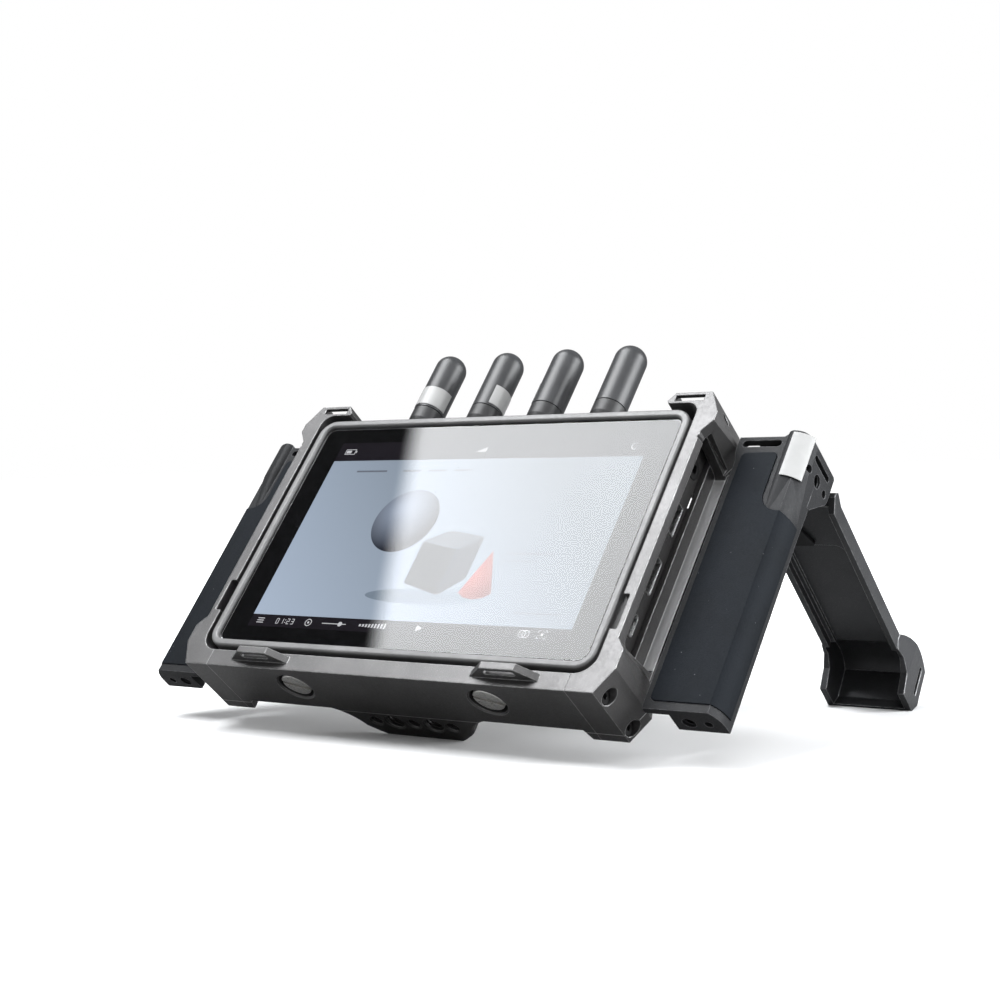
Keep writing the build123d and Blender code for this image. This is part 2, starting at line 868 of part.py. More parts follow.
# Threaded bushes in the monitor's underside, and the coin screws that go into them
with BuildPart() as base_bushes:
    with BuildSketch(level(-half_height)):
        with Locations((-coin_x, coin_y), (coin_x, coin_y)):
            Circle(bush_radius - 0.05)
            Circle(coin_shank + 0.1, mode=Mode.SUBTRACT)
    extrude(amount=bush_height)
hand_in(base_bushes, "base_bushes")

coin_head_z = bar_bottom + coin_recess_depth
with BuildPart() as coin_screws:
    with BuildSketch(level(coin_head_z - coin_head_height)):
        with Locations((-coin_x, coin_y), (coin_x, coin_y)):
            Circle(coin_head_radius)
    extrude(amount=coin_head_height)
    fillet(coin_screws.edges().group_by(Axis.Z)[0], radius=0.5)
    with BuildSketch(level(coin_head_z - coin_head_height)):
        with Locations((-coin_x, coin_y), (coin_x, coin_y)):
            Rectangle(2 * coin_head_radius, coin_slot, rotation=18)
    extrude(amount=coin_slot_depth, mode=Mode.SUBTRACT)
    with BuildSketch(level(coin_head_z)):
        with Locations((-coin_x, coin_y), (coin_x, coin_y)):
            Circle(coin_shank)
    extrude(amount=-half_height - coin_head_z + coin_engagement)
hand_in(coin_screws, "coin_screws")

# Aerials: connectors and collars stay, the four covers turn
with BuildPart() as aerial_connectors:
    with BuildSketch(level(half_height - connector_depth)):
        with Locations([(x, aerial_y) for x in aerial_places]):
            Circle(connector_radius)
    extrude(amount=connector_top - half_height + connector_depth)
    with BuildSketch(level(half_height - shell_wall)):
        with Locations([(x, aerial_y) for x in aerial_places]):
            RegularPolygon(connector_nut_radius, 6)
            Circle(connector_radius - 0.2, mode=Mode.SUBTRACT)
    extrude(amount=-connector_nut_height)
hand_in(aerial_connectors, "aerial_connectors")

with BuildPart() as aerial_collars:
    with Locations([(x, aerial_y, half_height) for x in aerial_places]):
        Cone(collar_foot_radius, aerial_radius, collar_taper, align=(Align.CENTER, Align.CENTER, Align.MIN))
    with BuildSketch(level(half_height + collar_taper)):
        with Locations([(x, aerial_y) for x in aerial_places]):
            Circle(aerial_radius)
    extrude(amount=collar_top - half_height - collar_taper)
    with BuildSketch(level(half_height)):
        with Locations([(x, aerial_y) for x in aerial_places]):
            Circle(connector_radius + 0.02)
    extrude(amount=collar_top - half_height, mode=Mode.SUBTRACT)
hand_in(aerial_collars, "aerial_collars")

aerial_bottom = collar_top + aerial_gap
for number, place in enumerate(aerial_places, start=1):
    with BuildPart() as aerial:
        with BuildSketch(level(aerial_bottom)):
            with Locations((place, aerial_y)):
                Circle(aerial_radius)
        extrude(amount=aerial_top - aerial_bottom)
        fillet(aerial.edges().group_by(Axis.Z)[-1], radius=aerial_dome)
        with BuildSketch(level(aerial_bottom)):
            with Locations((place, aerial_y)):
                Circle(connector_radius + running_gap)
        extrude(amount=connector_top - aerial_bottom + 0.5, mode=Mode.SUBTRACT)
    hand_in(aerial, f"aerial_{number}")


def wrap_label(place, start, sweep, bottom, height):
    """Blank label round part of an aerial, from its start angle."""
    with BuildPart() as label:
        with BuildSketch(Plane(origin=(place, aerial_y, bottom), z_dir=(0, 0, 1))):
            with BuildLine():
                outside = CenterArc((0, 0), aerial_radius + label_thickness, start, sweep)
                inside = CenterArc((0, 0), aerial_radius, start, sweep)
                Line(outside @ 0, inside @ 0)
                Line(outside @ 1, inside @ 1)
            make_face()
        extrude(amount=height)
    return label


hand_in(wrap_label(aerial_places[0], 190, 174, label_bottom, label_height), "aerial_label_1")
hand_in(wrap_label(aerial_places[1], 304, 116, label_bottom, label_height), "aerial_label_2")
hand_in(wrap_label(aerial_places[2], 118, 112, label_bottom, label_height), "aerial_label_3")

# Battery plate on the housing's back, with sprung latch and contacts
plate_back = body_back + plate_thickness
rail_x = plate_width / 2 - rail_width / 2
with BuildPart() as battery_plate:
    with BuildSketch(facing(plate_back)):
        RectangleRounded(plate_width, plate_height, 3.0)
    extrude(amount=plate_thickness)
    with BuildSketch(facing(plate_back + rail_height)):
        with Locations((-rail_x, 0), (rail_x, 0)):
            Rectangle(rail_width, plate_height - 16.0)
    extrude(amount=rail_height)
    with BuildSketch(facing(plate_back + rail_height)):
        with Locations((-rail_x + rail_lip / 2, 0), (rail_x - rail_lip / 2, 0)):
            Rectangle(rail_width + rail_lip, plate_height - 16.0)
    extrude(amount=rail_lip)
    with BuildSketch(facing(plate_back)):
        with Locations((0, plate_height / 2 - latch_height)):
            Rectangle(latch_width + 2 * latch_gap, latch_height + latch_travel + 2 * latch_gap)
    extrude(amount=plate_thickness - 0.8, mode=Mode.SUBTRACT)
    with BuildSketch(facing(plate_back)):
        with Locations([(n * contact_pitch, -plate_height / 2 + 12.0) for n in (-1, 0, 1)]):
            Circle(contact_radius)
    extrude(amount=plate_thickness - 0.8, mode=Mode.SUBTRACT)
hand_in(battery_plate, "battery_plate")

with BuildPart() as battery_contacts:
    with BuildSketch(facing(plate_back + 1.6)):
        with Locations([(n * contact_pitch, -plate_height / 2 + 12.0) for n in (-1, 0, 1)]):
            Circle(contact_radius)
    extrude(amount=plate_thickness + 0.8)
    fillet(battery_contacts.edges().group_by(Axis.Y)[-1], radius=0.5)
hand_in(battery_contacts, "battery_contacts")

latch_z = plate_height / 2 - latch_height + latch_travel / 2
with BuildPart() as battery_latch:
    with BuildSketch(facing(plate_back + latch_proud)):
        with Locations((0, latch_z)):
            RectangleRounded(latch_width, latch_height, 1.0)
    extrude(amount=latch_proud + plate_thickness - 0.8 - latch_gap)
    with BuildSketch(facing(plate_back + latch_proud)):
        with Locations((0, latch_z)):
            with GridLocations(0, 2.0, 1, 3):
                Rectangle(latch_width - 4, 0.8)
    extrude(amount=0.6, mode=Mode.SUBTRACT)
hand_in(battery_latch, "battery_latch")

# Cage: right side frame, as an upright wall with blocks at its corners and an ear
chamfer_x = block_x - corner_chamfer
upper_x = block_x + upper_block_proud
lower_edge_z = bar_bottom + corner_chamfer_rise
upper_edge_z = cage_top - ear_slope_drop


def slant(front, back, lip):
    """Plane through three points, that faces outwards; drawn from its back point along the block's edge."""
    first = Vector(*back) - Vector(*front)
    second = Vector(*lip) - Vector(*front)
    normal = first.cross(second)
    if normal.X < 0:
        normal = normal * -1
    return Plane(origin=front, x_dir=first, z_dir=normal)


lower_slant = slant(
    (block_x, cage_front, lower_block_top - 4.9),
    (block_x, cage_back, lower_edge_z - 0.6),
    (cage_outer, lip_front - 2.2, window_low_back - 0.6),
)
upper_slant = slant(
    (upper_x, cage_front, upper_block_bottom + 5.2),
    (upper_x, cage_back, upper_edge_z + 0.4),
    (cage_outer, lip_front - slant_lip, window_high_back + recess_rise),
)
with BuildPart() as cage_side_right:
    with BuildSketch(facing(cage_back)):
        with BuildLine():
            Polyline(
                (seam_x, bar_bottom),
                (chamfer_x, bar_bottom),
                (block_x, bar_bottom + corner_chamfer_rise),
                (block_x, lower_block_top - 4.5),
                (cage_outer, lower_block_top),
                (cage_outer, upper_block_bottom),
                (upper_x, upper_block_bottom + 5.5),
                (upper_x, upper_edge_z),
                (upper_x - ear_slope_run, cage_top),
                (cage_inner - ear_corner, cage_top),
                (cage_inner - ear_corner, ear_bottom),
            )
            ear_root = (cage_inner - ear_corner, ear_bottom)
            wall_top = (cage_inner, ear_bottom - ear_corner)
            wall_foot = (cage_inner, bar_top + opening_corner)
            bar_root = (cage_inner - opening_corner, bar_top)
            RadiusArc(ear_root, wall_top, ear_corner)
            Line(wall_top, wall_foot)
            RadiusArc(wall_foot, bar_root, opening_corner)
            Polyline(bar_root, (seam_x, bar_top), (seam_x, bar_bottom))
        make_face()
    extrude(amount=cage_back - cage_front)
    # ear: an arm over the monitor's corner, with a strap bar along its front edge
    with BuildSketch(facing(cage_front + ear_depth)):
        with BuildLine():
            Polyline(
                (cage_inner - ear_corner, cage_top),
                (ear_end + ear_slope, cage_top),
                (ear_end, ear_bottom + 1.2),
                (ear_end + 0.6, ear_bottom),
                (cage_inner - ear_corner, ear_bottom),
                close=True,
            )
        make_face()
    extrude(amount=ear_depth)
    with BuildSketch(facing(cage_front + strap_pocket)):
        with Locations(((strap_slot_inner + strap_slot_outer) / 2, (strap_slot_low + strap_slot_high) / 2)):
            Rectangle(strap_slot_outer - strap_slot_inner, strap_slot_high - strap_slot_low)
    extrude(amount=strap_pocket, mode=Mode.SUBTRACT)
    with BuildSketch(level(strap_slot_low)):
        slot_x = (strap_slot_inner + strap_slot_outer) / 2
        with Locations((slot_x, cage_front + (strap_bar + strap_pocket) / 2)):
            Rectangle(strap_slot_outer - strap_slot_inner, strap_pocket - strap_bar)
    extrude(amount=cage_top - strap_slot_low, mode=Mode.SUBTRACT)
    # strip behind the monitor's edge, with a notch in its own edge
    with BuildSketch(facing(cage_back)):
        with Locations((cage_inner - rear_strip / 2, (bar_top + ear_bottom) / 2)):
            Rectangle(rear_strip, ear_bottom - bar_top - 2 * opening_corner)
        with Locations((cage_inner - rear_strip + strip_notch_depth / 2, strip_notch_z)):
            Rectangle(strip_notch_depth, strip_notch_height, mode=Mode.SUBTRACT)
    extrude(amount=cage_back - body_back - strip_gap)
    # window beside the sockets, and a shallow recess round its upper end
    with BuildSketch(side(cage_inner)) as window:
        Polygon(
            (cage_front + front_flange, window_low),
            (lip_front, window_low_back),
            (lip_front, window_high_back),
            (cage_front + front_flange, window_high),
            align=None,
        )
        fillet(window.vertices(), radius=window_corner)
    extrude(amount=upper_x - cage_inner, mode=Mode.SUBTRACT)
    with BuildSketch(side(cage_outer - window_ledge)):
        Polygon(
            (cage_front + front_flange, 0),
            (lip_front - slant_lip, 0),
            (lip_front - slant_lip, window_high_back + recess_rise),
            (cage_front + front_flange, window_high),
            align=None,
        )
    extrude(amount=upper_x - cage_outer + window_ledge, mode=Mode.SUBTRACT)
    # the blocks above and below the window slant back to the lip
    with BuildSketch(lower_slant):
        with Locations((16, 0)):
            Rectangle(60, lower_slant_height, align=(Align.CENTER, Align.MIN))
    extrude(amount=2 * corner_out, mode=Mode.SUBTRACT)
    with BuildSketch(upper_slant):
        with Locations((16, 0)):
            Rectangle(60, upper_slant_height, align=(Align.CENTER, Align.MAX))
    extrude(amount=2 * corner_out, mode=Mode.SUBTRACT)
    # notch in the front opening's edge
    with BuildSketch(facing(cage_front + front_flange)):
        with Locations((cage_inner, (notch_low + notch_high) / 2)):
            RectangleRounded(2 * notch_depth, notch_high - notch_low, notch_corner)
    extrude(amount=front_flange, mode=Mode.SUBTRACT)
    # threaded hole in the ear's outer slope
    slope_middle = (upper_x - ear_slope_run / 2, ear_hole_y, cage_top - ear_slope_drop / 2)
    slope_plane = Plane(origin=slope_middle, x_dir=(0, 1, 0), z_dir=(ear_slope_drop, 0, ear_slope_run))
    with BuildSketch(slope_plane):
        Circle(small_thread)
    extrude(amount=-ear_hole_depth, mode=Mode.SUBTRACT)
    # counterbored holes for the corner screws
    with BuildSketch(side(block_x)):
        with Locations([(y, cap_screw_z) for y in corner_screw_y]):
            Circle(cap_head_radius + cap_clearance)
    extrude(amount=-(block_x - cap_head_x + cap_head_height), mode=Mode.SUBTRACT)
    with BuildSketch(side(cap_head_x - cap_head_height)):
        with Locations([(y, cap_screw_z) for y in corner_screw_y]):
            Circle(cap_shank + 0.15)
    extrude(amount=-(cap_head_x - cap_head_height - seam_x), mode=Mode.SUBTRACT)
    # threaded holes for the bracket's screws
    with BuildSketch(facing(cage_back)):
        with Locations([(bracket_screw_x, z) for z in bracket_screw_z]):
            Circle(cap_shank + 0.05)
    extrude(amount=cage_back - lip_front - 0.8, mode=Mode.SUBTRACT)
hand_in(cage_side_right, "cage_side_right")

with BuildPart() as cage_side_left:
    mirror(cage_side_right.part, about=Plane.YZ)
hand_in(cage_side_left, "cage_side_left")

# Bottom bar between the side frames, with its rear tab, seats and two loops
with BuildPart() as bottom_bar:
    with BuildSketch(level(bar_bottom)) as bar_plan:
        with BuildLine():
            Polyline((0, cage_front), (seam_x, cage_front), (seam_x, cage_back), (foot_x, cage_back))
            Polyline((foot_x, cage_back), (foot_x - foot_slope, bar_back), (0, bar_back), (0, cage_front))
        make_face()
        mirror(about=Plane.YZ)
    extrude(amount=bar_thickness)
    with BuildSketch(level(bar_bottom)):
        with BuildLine():
            root = Polyline((0, bar_back - 1.0), (tab_root_x, bar_back - 1.0), (tab_root_x, bar_back))
            TangentArc(root @ 1, (tab_mid_x, tab_mid_y), tangent=(-1, 0.16))
            Line((tab_mid_x, tab_mid_y), (tab_end_x, tab_back - 1.2))
            Polyline((tab_end_x, tab_back - 1.2), (tab_end_x - 2.0, tab_back), (0, tab_back))
            Line((0, tab_back), (0, bar_back - 1.0))
        make_face()
        mirror(about=Plane.YZ)
    extrude(amount=tab_thickness)
    # seats that carry the monitor
    with BuildSketch(level(bar_top)):
        with Locations((0, (seat_front + seat_back) / 2)):
            with GridLocations(seat_inner + seat_outer, 0, 2, 1):
                Rectangle(seat_outer - seat_inner, seat_back - seat_front)
    extrude(amount=bottom_gap)
    # threaded holes along the tab
    with BuildSketch(level(bar_bottom)):
        with Locations((-small_hole_x, hole_y), (0, hole_y), (small_hole_x, hole_y)):
            Circle(small_thread)
        with Locations((-large_hole_x, hole_y), (large_hole_x, hole_y)):
            Circle(large_thread)
    extrude(amount=bar_thickness, mode=Mode.SUBTRACT)
    # coin screw recesses and their shank holes
    with BuildSketch(level(bar_bottom)):
        with Locations((-coin_x, coin_y), (coin_x, coin_y)):
            Circle(coin_recess_radius)
    extrude(amount=coin_recess_depth, mode=Mode.SUBTRACT)
    with BuildSketch(level(bar_bottom)):
        with Locations((-coin_x, coin_y), (coin_x, coin_y)):
            Circle(coin_shank + 0.3)
    extrude(amount=bar_thickness + bottom_gap, mode=Mode.SUBTRACT)
    rims = bottom_bar.edges().filter_by(GeomType.CIRCLE).group_by(Axis.Z)[0]
    chamfer(rims, length=mouth_chamfer)
    # threaded ends for the corner screws
    with BuildSketch(side(seam_x)):
        with Locations([(y, cap_screw_z) for y in corner_screw_y]):
            Circle(cap_shank + 0.05)
    extrude(amount=-(cap_length - cap_head_x + cap_head_height + seam_x), mode=Mode.SUBTRACT)
    with BuildSketch(side(-seam_x)):
        with Locations([(y, cap_screw_z) for y in corner_screw_y]):
            Circle(cap_shank + 0.05)
    extrude(amount=cap_length - cap_head_x + cap_head_height + seam_x, mode=Mode.SUBTRACT)
    # loops on the bar's front face
    with BuildSketch(level(loop_z - loop_thickness)):
        with Locations((-loop_x, cage_front), (loop_x, cage_front)):
            Polygon(
                (-loop_base / 2, 0.5),
                (-loop_base / 2, 0),
                (-loop_end / 2, -loop_reach),
                (loop_end / 2, -loop_reach),
                (loop_base / 2, 0),
                (loop_base / 2, 0.5),
                align=None,
            )
        slot_y = cage_front - loop_reach + loop_wall + loop_slot_width / 2
        with Locations((-loop_x, slot_y), (loop_x, slot_y)):
            SlotOverall(loop_slot_length, loop_slot_width, mode=Mode.SUBTRACT)
    extrude(amount=loop_thickness)
hand_in(bottom_bar, "bottom_bar")

with BuildPart() as corner_screws:
    for way, turn in ((1, 90), (-1, -90)):
        for y in corner_screw_y:
            with Locations(Location((way * (cap_head_x - cap_head_height), y, cap_screw_z), (0, turn, 0))):
                add(screw(cap_shank, cap_length, cap_head_radius,
                          cap_head_height, cap_socket, cap_socket_depth))
hand_in(corner_screws, "corner_screws")


def grip_outline():
    """Front view of the grip, which steps round the thumb boss."""
    edge = handle_outer + grip_proud + 1.0
    with BuildSketch() as outline:
        with BuildLine():
            Polyline(
                (edge, grip_notch_z),
                (edge, grip_bottom),
                (grip_inner, grip_bottom),
                (grip_inner, grip_top),
                (grip_notch_x, grip_top),
                (grip_notch_x, grip_notch_top),
            )
            ThreePointArc(
                (grip_notch_x, grip_notch_top),
                (grip_notch_x + 2.4, grip_notch_top - 5.0),
                (grip_notch_mid_x, grip_notch_mid_z),
            )
            Line((grip_notch_mid_x, grip_notch_mid_z), (edge, grip_notch_z))
        make_face()
        fillet(outline.vertices().group_by(Axis.X)[0], radius=grip_corner)
        fillet(outline.vertices().group_by(Axis.Y)[-1].sort_by(Axis.X)[-1], radius=grip_corner)
    return outline.sketch_local


def handle_section(proud):
    """Section of the handle, looking down: a front skin and a thick outer rib. Proud moves its front out."""
    with BuildSketch() as section:
        with BuildLine():
            Polyline(
                (handle_outer - crease_inset, handle_front - proud),
                (handle_inner, handle_front - proud),
                (handle_inner, handle_front + handle_skin),
                (rib_inner, handle_front + handle_skin),
                (rib_inner, handle_back),
                (handle_outer + proud, handle_back),
                (handle_outer + proud, handle_front + crease_depth),
            )
            TangentArc(
                (handle_outer + proud, handle_front + crease_depth),
                (handle_outer - crease_inset, handle_front - proud),
                tangent=(0, -1),
            )
        make_face()
    return section.sketch_local


# Band of rubber: everything of the section that lies near its front and outer side
with BuildPart() as grip_right:
    with BuildSketch(level(grip_bottom)):
        add(handle_section(grip_proud))
    extrude(amount=grip_top - grip_bottom)
    with BuildSketch(level(grip_bottom)):
        with BuildLine():
            Polyline(
                (handle_inner - 1, handle_front + grip_depth),
                (handle_outer - crease_inset - grip_depth / 2, handle_front + grip_depth),
            )
            TangentArc(
                (handle_outer - grip_depth, handle_front + crease_depth),
                (handle_outer - crease_inset - grip_depth / 2, handle_front + grip_depth),
                tangent=(0, -1),
            )
            Polyline(
                (handle_outer - grip_depth, handle_front + crease_depth),
                (handle_outer - grip_depth, grip_side_y),
                (handle_outer + 2, grip_side_y),
                (handle_outer + 2, handle_back + 1),
                (handle_inner - 1, handle_back + 1),
                (handle_inner - 1, handle_front + grip_depth),
            )
        make_face()
    extrude(amount=grip_top - grip_bottom, mode=Mode.SUBTRACT)
    with BuildSketch(facing(handle_back)):
        add(grip_outline())
    extrude(amount=handle_back, mode=Mode.INTERSECT)
hand_in(grip_right, "grip_right")

with BuildPart() as grip_left:
    mirror(grip_right.part, about=Plane.YZ)
hand_in(grip_left, "grip_left")


def crown(crest, shoulder, outer):
    """Three points of the thumb boss's crown, from its crest to its shoulder on the outer side."""
    middle = ((boss_crest_x + outer) / 2, crest + boss_sag * (shoulder - crest))
    return (boss_crest_x, crest), middle, (outer, shoulder)


def boss_section(crest, shoulder, outer):
    """Section of the thumb boss, looking down, from its groove over its crest to the outer side."""
    with BuildSketch() as section:
        with BuildLine():
            ThreePointArc((boss_inner, handle_front + 1.0), (boss_inner + 1.0, (crest + handle_front) / 2),
                          (boss_crest_x, crest))
            ThreePointArc(*crown(crest, shoulder, outer))
            Polyline((outer, shoulder), (outer, handle_back), (boss_inner, handle_back),
                     (boss_inner, handle_front + 1.0))
        make_face()
    return section.sketch_local


def block_side(front):
    """Side view of the hinge block from a depth at its front, with its nose rounded about the pivot."""
    nose = (pivot_y + nose_radius * cos(radians(55)), pivot_z - nose_radius * sin(radians(55)))
    with BuildSketch() as section:
        with BuildLine():
            Polyline(
                (pivot_y + nose_radius, pivot_z),
                (block_back, block_top),
                (front, block_top),
                (front, block_foot_z),
                (handle_back, block_foot_z),
                nose,
            )
            RadiusArc(nose, (pivot_y + nose_radius, pivot_z), -nose_radius)
        make_face()
    return section.sketch_local


with BuildPart() as handle_right:
    with BuildSketch(level(handle_bottom)):
        add(handle_section(0))
    extrude(amount=block_top - handle_bottom)
    # the top's inner end reaches a little towards the cage
    with BuildSketch(facing(handle_front + handle_skin)):
        with BuildLine():
            Polyline(
                (handle_inner, handle_top),
                (handle_top_inner, handle_top),
                (handle_top_inner, top_slot_z - 4.0),
                (handle_inner, top_slot_z - 8.0),
                close=True,
            )
        make_face()
    extrude(amount=handle_skin)
    # hinge block: its side view, further back under the thumb boss's round shoulder
    with BuildSketch(side(block_inner)):
        add(block_side(handle_front + block_inset))
    extrude(amount=boss_crest_x - block_inner)
    with BuildSketch(side(boss_crest_x)):
        add(block_side(handle_front + crease_depth + block_inset))
    extrude(amount=block_outer - boss_crest_x)
    # thumb boss, crowned towards the front; it fades into the handle below
    with BuildSketch(level(boss_foot_z)):
        add(boss_section(handle_front + boss_sunk, handle_front + crease_depth + boss_sunk, handle_outer))
    with BuildSketch(level(boss_full_z)):
        add(boss_section(boss_crest_y, boss_side_y, block_outer))
    loft()
    with BuildSketch(level(boss_full_z)):
        add(boss_section(boss_crest_y, boss_side_y, block_outer))
    extrude(amount=block_top - boss_full_z)
    # the block's top slopes down towards the outside
    with BuildSketch(facing(block_back + 1.0)):
        with BuildLine():
            Line((block_outer + 1.0, block_top_edge), (block_outer, block_top_edge))
            ThreePointArc(
                (block_outer, block_top_edge),
                (block_outer - 1.6, block_top - 1.5),
                (block_outer - boss_top_round - 1.5, block_top),
            )
            Polyline(
                (block_outer - boss_top_round - 1.5, block_top),
                (block_outer - boss_top_round - 1.5, block_top + 1.0),
                (block_outer + 1.0, block_top + 1.0),
                (block_outer + 1.0, block_top_edge),
            )
        make_face()
    extrude(amount=block_back + 1.0, mode=Mode.SUBTRACT)
    # the skin's top is lower than the block's
    with BuildSketch(facing(block_back + 1.0)):
        with BuildLine():
            Polyline(
                (handle_top_inner - 1.0, handle_top),
                (boss_inner - 1.0, handle_top),
                (boss_inner + 0.6, block_top),
                (boss_inner + 0.6, block_top + 1.0),
                (handle_top_inner - 1.0, block_top + 1.0),
                close=True,
            )
        make_face()
    extrude(amount=block_back + 1.0, mode=Mode.SUBTRACT)
    # room for the leg's tongue, open to the back and below
    with BuildSketch(level(handle_bottom)):
        with Locations(((cheek_inner + cheek_outer) / 2, (handle_back + 0.7 + block_back + 1.0) / 2)):
            Rectangle(cheek_outer - cheek_inner, block_back + 0.3 - handle_back)
    extrude(amount=pivot_z - handle_bottom + tongue_radius + 0.8, mode=Mode.SUBTRACT)
    # strap slot through the top of the skin
    with BuildSketch(facing(handle_back + 4.0)):
        with Locations(((top_slot_inner + top_slot_outer) / 2, top_slot_z)):
            SlotOverall(top_slot_outer - top_slot_inner, top_slot_height)
    extrude(amount=handle_back + 4.0, mode=Mode.SUBTRACT)
    with BuildSketch(facing(block_back + 1.0)):
        with Locations(((cheek_inner + top_slot_outer - 1.5) / 2, top_slot_z)):
            Rectangle(top_slot_outer - 1.5 - cheek_inner, top_slot_height)
    extrude(amount=block_back - handle_front, mode=Mode.SUBTRACT)
    # recess for the rubber grip
    add(grip_right.part, mode=Mode.SUBTRACT)
    # threaded holes and locating holes in the lower end and in the block's outer side
    with BuildSketch(level(handle_bottom)):
        with Locations((handle_hole_x, handle_hole_y)):
            Circle(small_thread)
    extrude(amount=handle_hole_depth, mode=Mode.SUBTRACT)
    with BuildSketch(level(handle_bottom)):
        with Locations((handle_pin_hole_x, handle_hole_y)):
            Circle(locating_radius)
    extrude(amount=locating_depth, mode=Mode.SUBTRACT)
    with BuildSketch(side(block_outer)):
        with Locations((side_hole_y, side_hole_z)):
            Circle(small_thread)
    extrude(amount=-side_hole_depth, mode=Mode.SUBTRACT)
    with BuildSketch(side(block_outer)):
        with Locations([(side_hole_y + way * side_hole_pitch, side_hole_z) for way in (-1, 1)]):
            Circle(locating_radius)
    extrude(amount=-locating_depth, mode=Mode.SUBTRACT)
    with BuildSketch(side(block_outer)):
        with Locations(((side_slot_start + side_slot_end) / 2, side_slot_z)):
            SlotOverall(side_slot_end - side_slot_start, side_slot_height)
    extrude(amount=-side_hole_depth, mode=Mode.SUBTRACT)
    # bore for the hinge pin
    with BuildSketch(side(hinge_pin_inner)):
        with Locations((pivot_y, pivot_z)):
            Circle(hinge_pin_radius)
    extrude(amount=hinge_pin_outer - hinge_pin_inner, mode=Mode.SUBTRACT)
    # threaded holes for the bracket's long screws
    with BuildSketch(side(rib_inner)):
        with Locations([(handle_screw_y, z) for z in handle_screw_z]):
            Circle(cap_shank + 0.05)
    extrude(amount=handle_screw_head_x + handle_screw_length - rib_inner + 0.5, mode=Mode.SUBTRACT)
hand_in(handle_right, "handle_right")

with BuildPart() as handle_left:
    mirror(handle_right.part, about=Plane.YZ)
hand_in(handle_left, "handle_left")

# Blank label over the thumb boss
with BuildPart() as grip_label:
    with BuildSketch(level(grip_label_low)):
        with BuildLine():
            outside = crown(boss_crest_y - label_thickness, boss_side_y, block_outer + label_thickness)
            boss_front = ThreePointArc(*outside)
            boss_rear = ThreePointArc(*crown(boss_crest_y, boss_side_y, block_outer))
            Line(boss_front @ 0, boss_rear @ 0)
            Line(boss_front @ 1, boss_rear @ 1)
        make_face()
        with Locations((block_outer - grip_label_inset, boss_side_y)):
            Rectangle(boss_width, handle_depth, align=(Align.MIN, Align.CENTER), mode=Mode.SUBTRACT)
    extrude(amount=grip_label_high - grip_label_low)
hand_in(grip_label, "grip_label")

with BuildPart() as hinge_pin_right:
    with BuildSketch(side(hinge_pin_inner)):
        with Locations((pivot_y, pivot_z)):
            Circle(hinge_pin_radius)
    extrude(amount=hinge_pin_outer - hinge_pin_inner)
hand_in(hinge_pin_right, "hinge_pin_right")

with BuildPart() as hinge_pin_left:
    mirror(hinge_pin_right.part, about=Plane.YZ)
hand_in(hinge_pin_left, "hinge_pin_left")

# Bracket: a flange and a thin neck behind the cage's lip, and an arm behind the handle's skin
with BuildPart() as bracket_right:
    with BuildSketch(level(bracket_low)):
        with BuildLine():
            Polyline(
                (bracket_flange_inner, cage_back),
                (cage_outer + bracket_clearance, cage_back),
                (cage_outer + bracket_clearance, bracket_neck_front),
                (bracket_arm_inner, bracket_neck_front),
                (bracket_arm_inner, bracket_arm_front),
                (rib_inner, bracket_arm_front),
                (rib_inner, handle_back),
                (bracket_bend, handle_back),
                (bracket_bend, cage_back + bracket_flange),
                (bracket_flange_inner, cage_back + bracket_flange),
                close=True,
            )
        make_face()
    extrude(amount=bracket_high - bracket_low)
    with BuildSketch(facing(cage_back + bracket_flange)):
        with Locations([(bracket_screw_x, z) for z in bracket_screw_z]):
            Circle(cap_shank + 0.15)
    extrude(amount=bracket_flange, mode=Mode.SUBTRACT)
    with BuildSketch(side(bracket_arm_inner)):
        with Locations([(handle_screw_y, z) for z in handle_screw_z]):
            Circle(cap_head_radius + cap_clearance)
    extrude(amount=handle_screw_sunk + cap_head_height, mode=Mode.SUBTRACT)
    with BuildSketch(side(handle_screw_head_x + cap_head_height)):
        with Locations([(handle_screw_y, z) for z in handle_screw_z]):
            Circle(cap_shank + 0.15)
    extrude(amount=rib_inner - handle_screw_head_x - cap_head_height, mode=Mode.SUBTRACT)
hand_in(bracket_right, "bracket_right")

with BuildPart() as bracket_left:
    mirror(bracket_right.part, about=Plane.YZ)
hand_in(bracket_left, "bracket_left")

with BuildPart() as bracket_screws:
    for way in (-1, 1):
        for z in bracket_screw_z:
            with Locations(Location((way * bracket_screw_x, cage_back + bracket_flange, z), (-90, 0, 0))):
                add(screw(cap_shank, bracket_screw_depth - 1.0, cap_head_radius, 1.6, cap_socket, 1.0))
hand_in(bracket_screws, "bracket_screws")

with BuildPart() as handle_screws:
    for way, turn in ((1, -90), (-1, 90)):
        for z in handle_screw_z:
            place = (way * (handle_screw_head_x + cap_head_height), handle_screw_y, z)
            with Locations(Location(place, (0, turn, 0))):
                add(screw(cap_shank, handle_screw_length - cap_head_height, cap_head_radius,
                          cap_head_height, cap_socket, cap_socket_depth))
hand_in(handle_screws, "handle_screws")

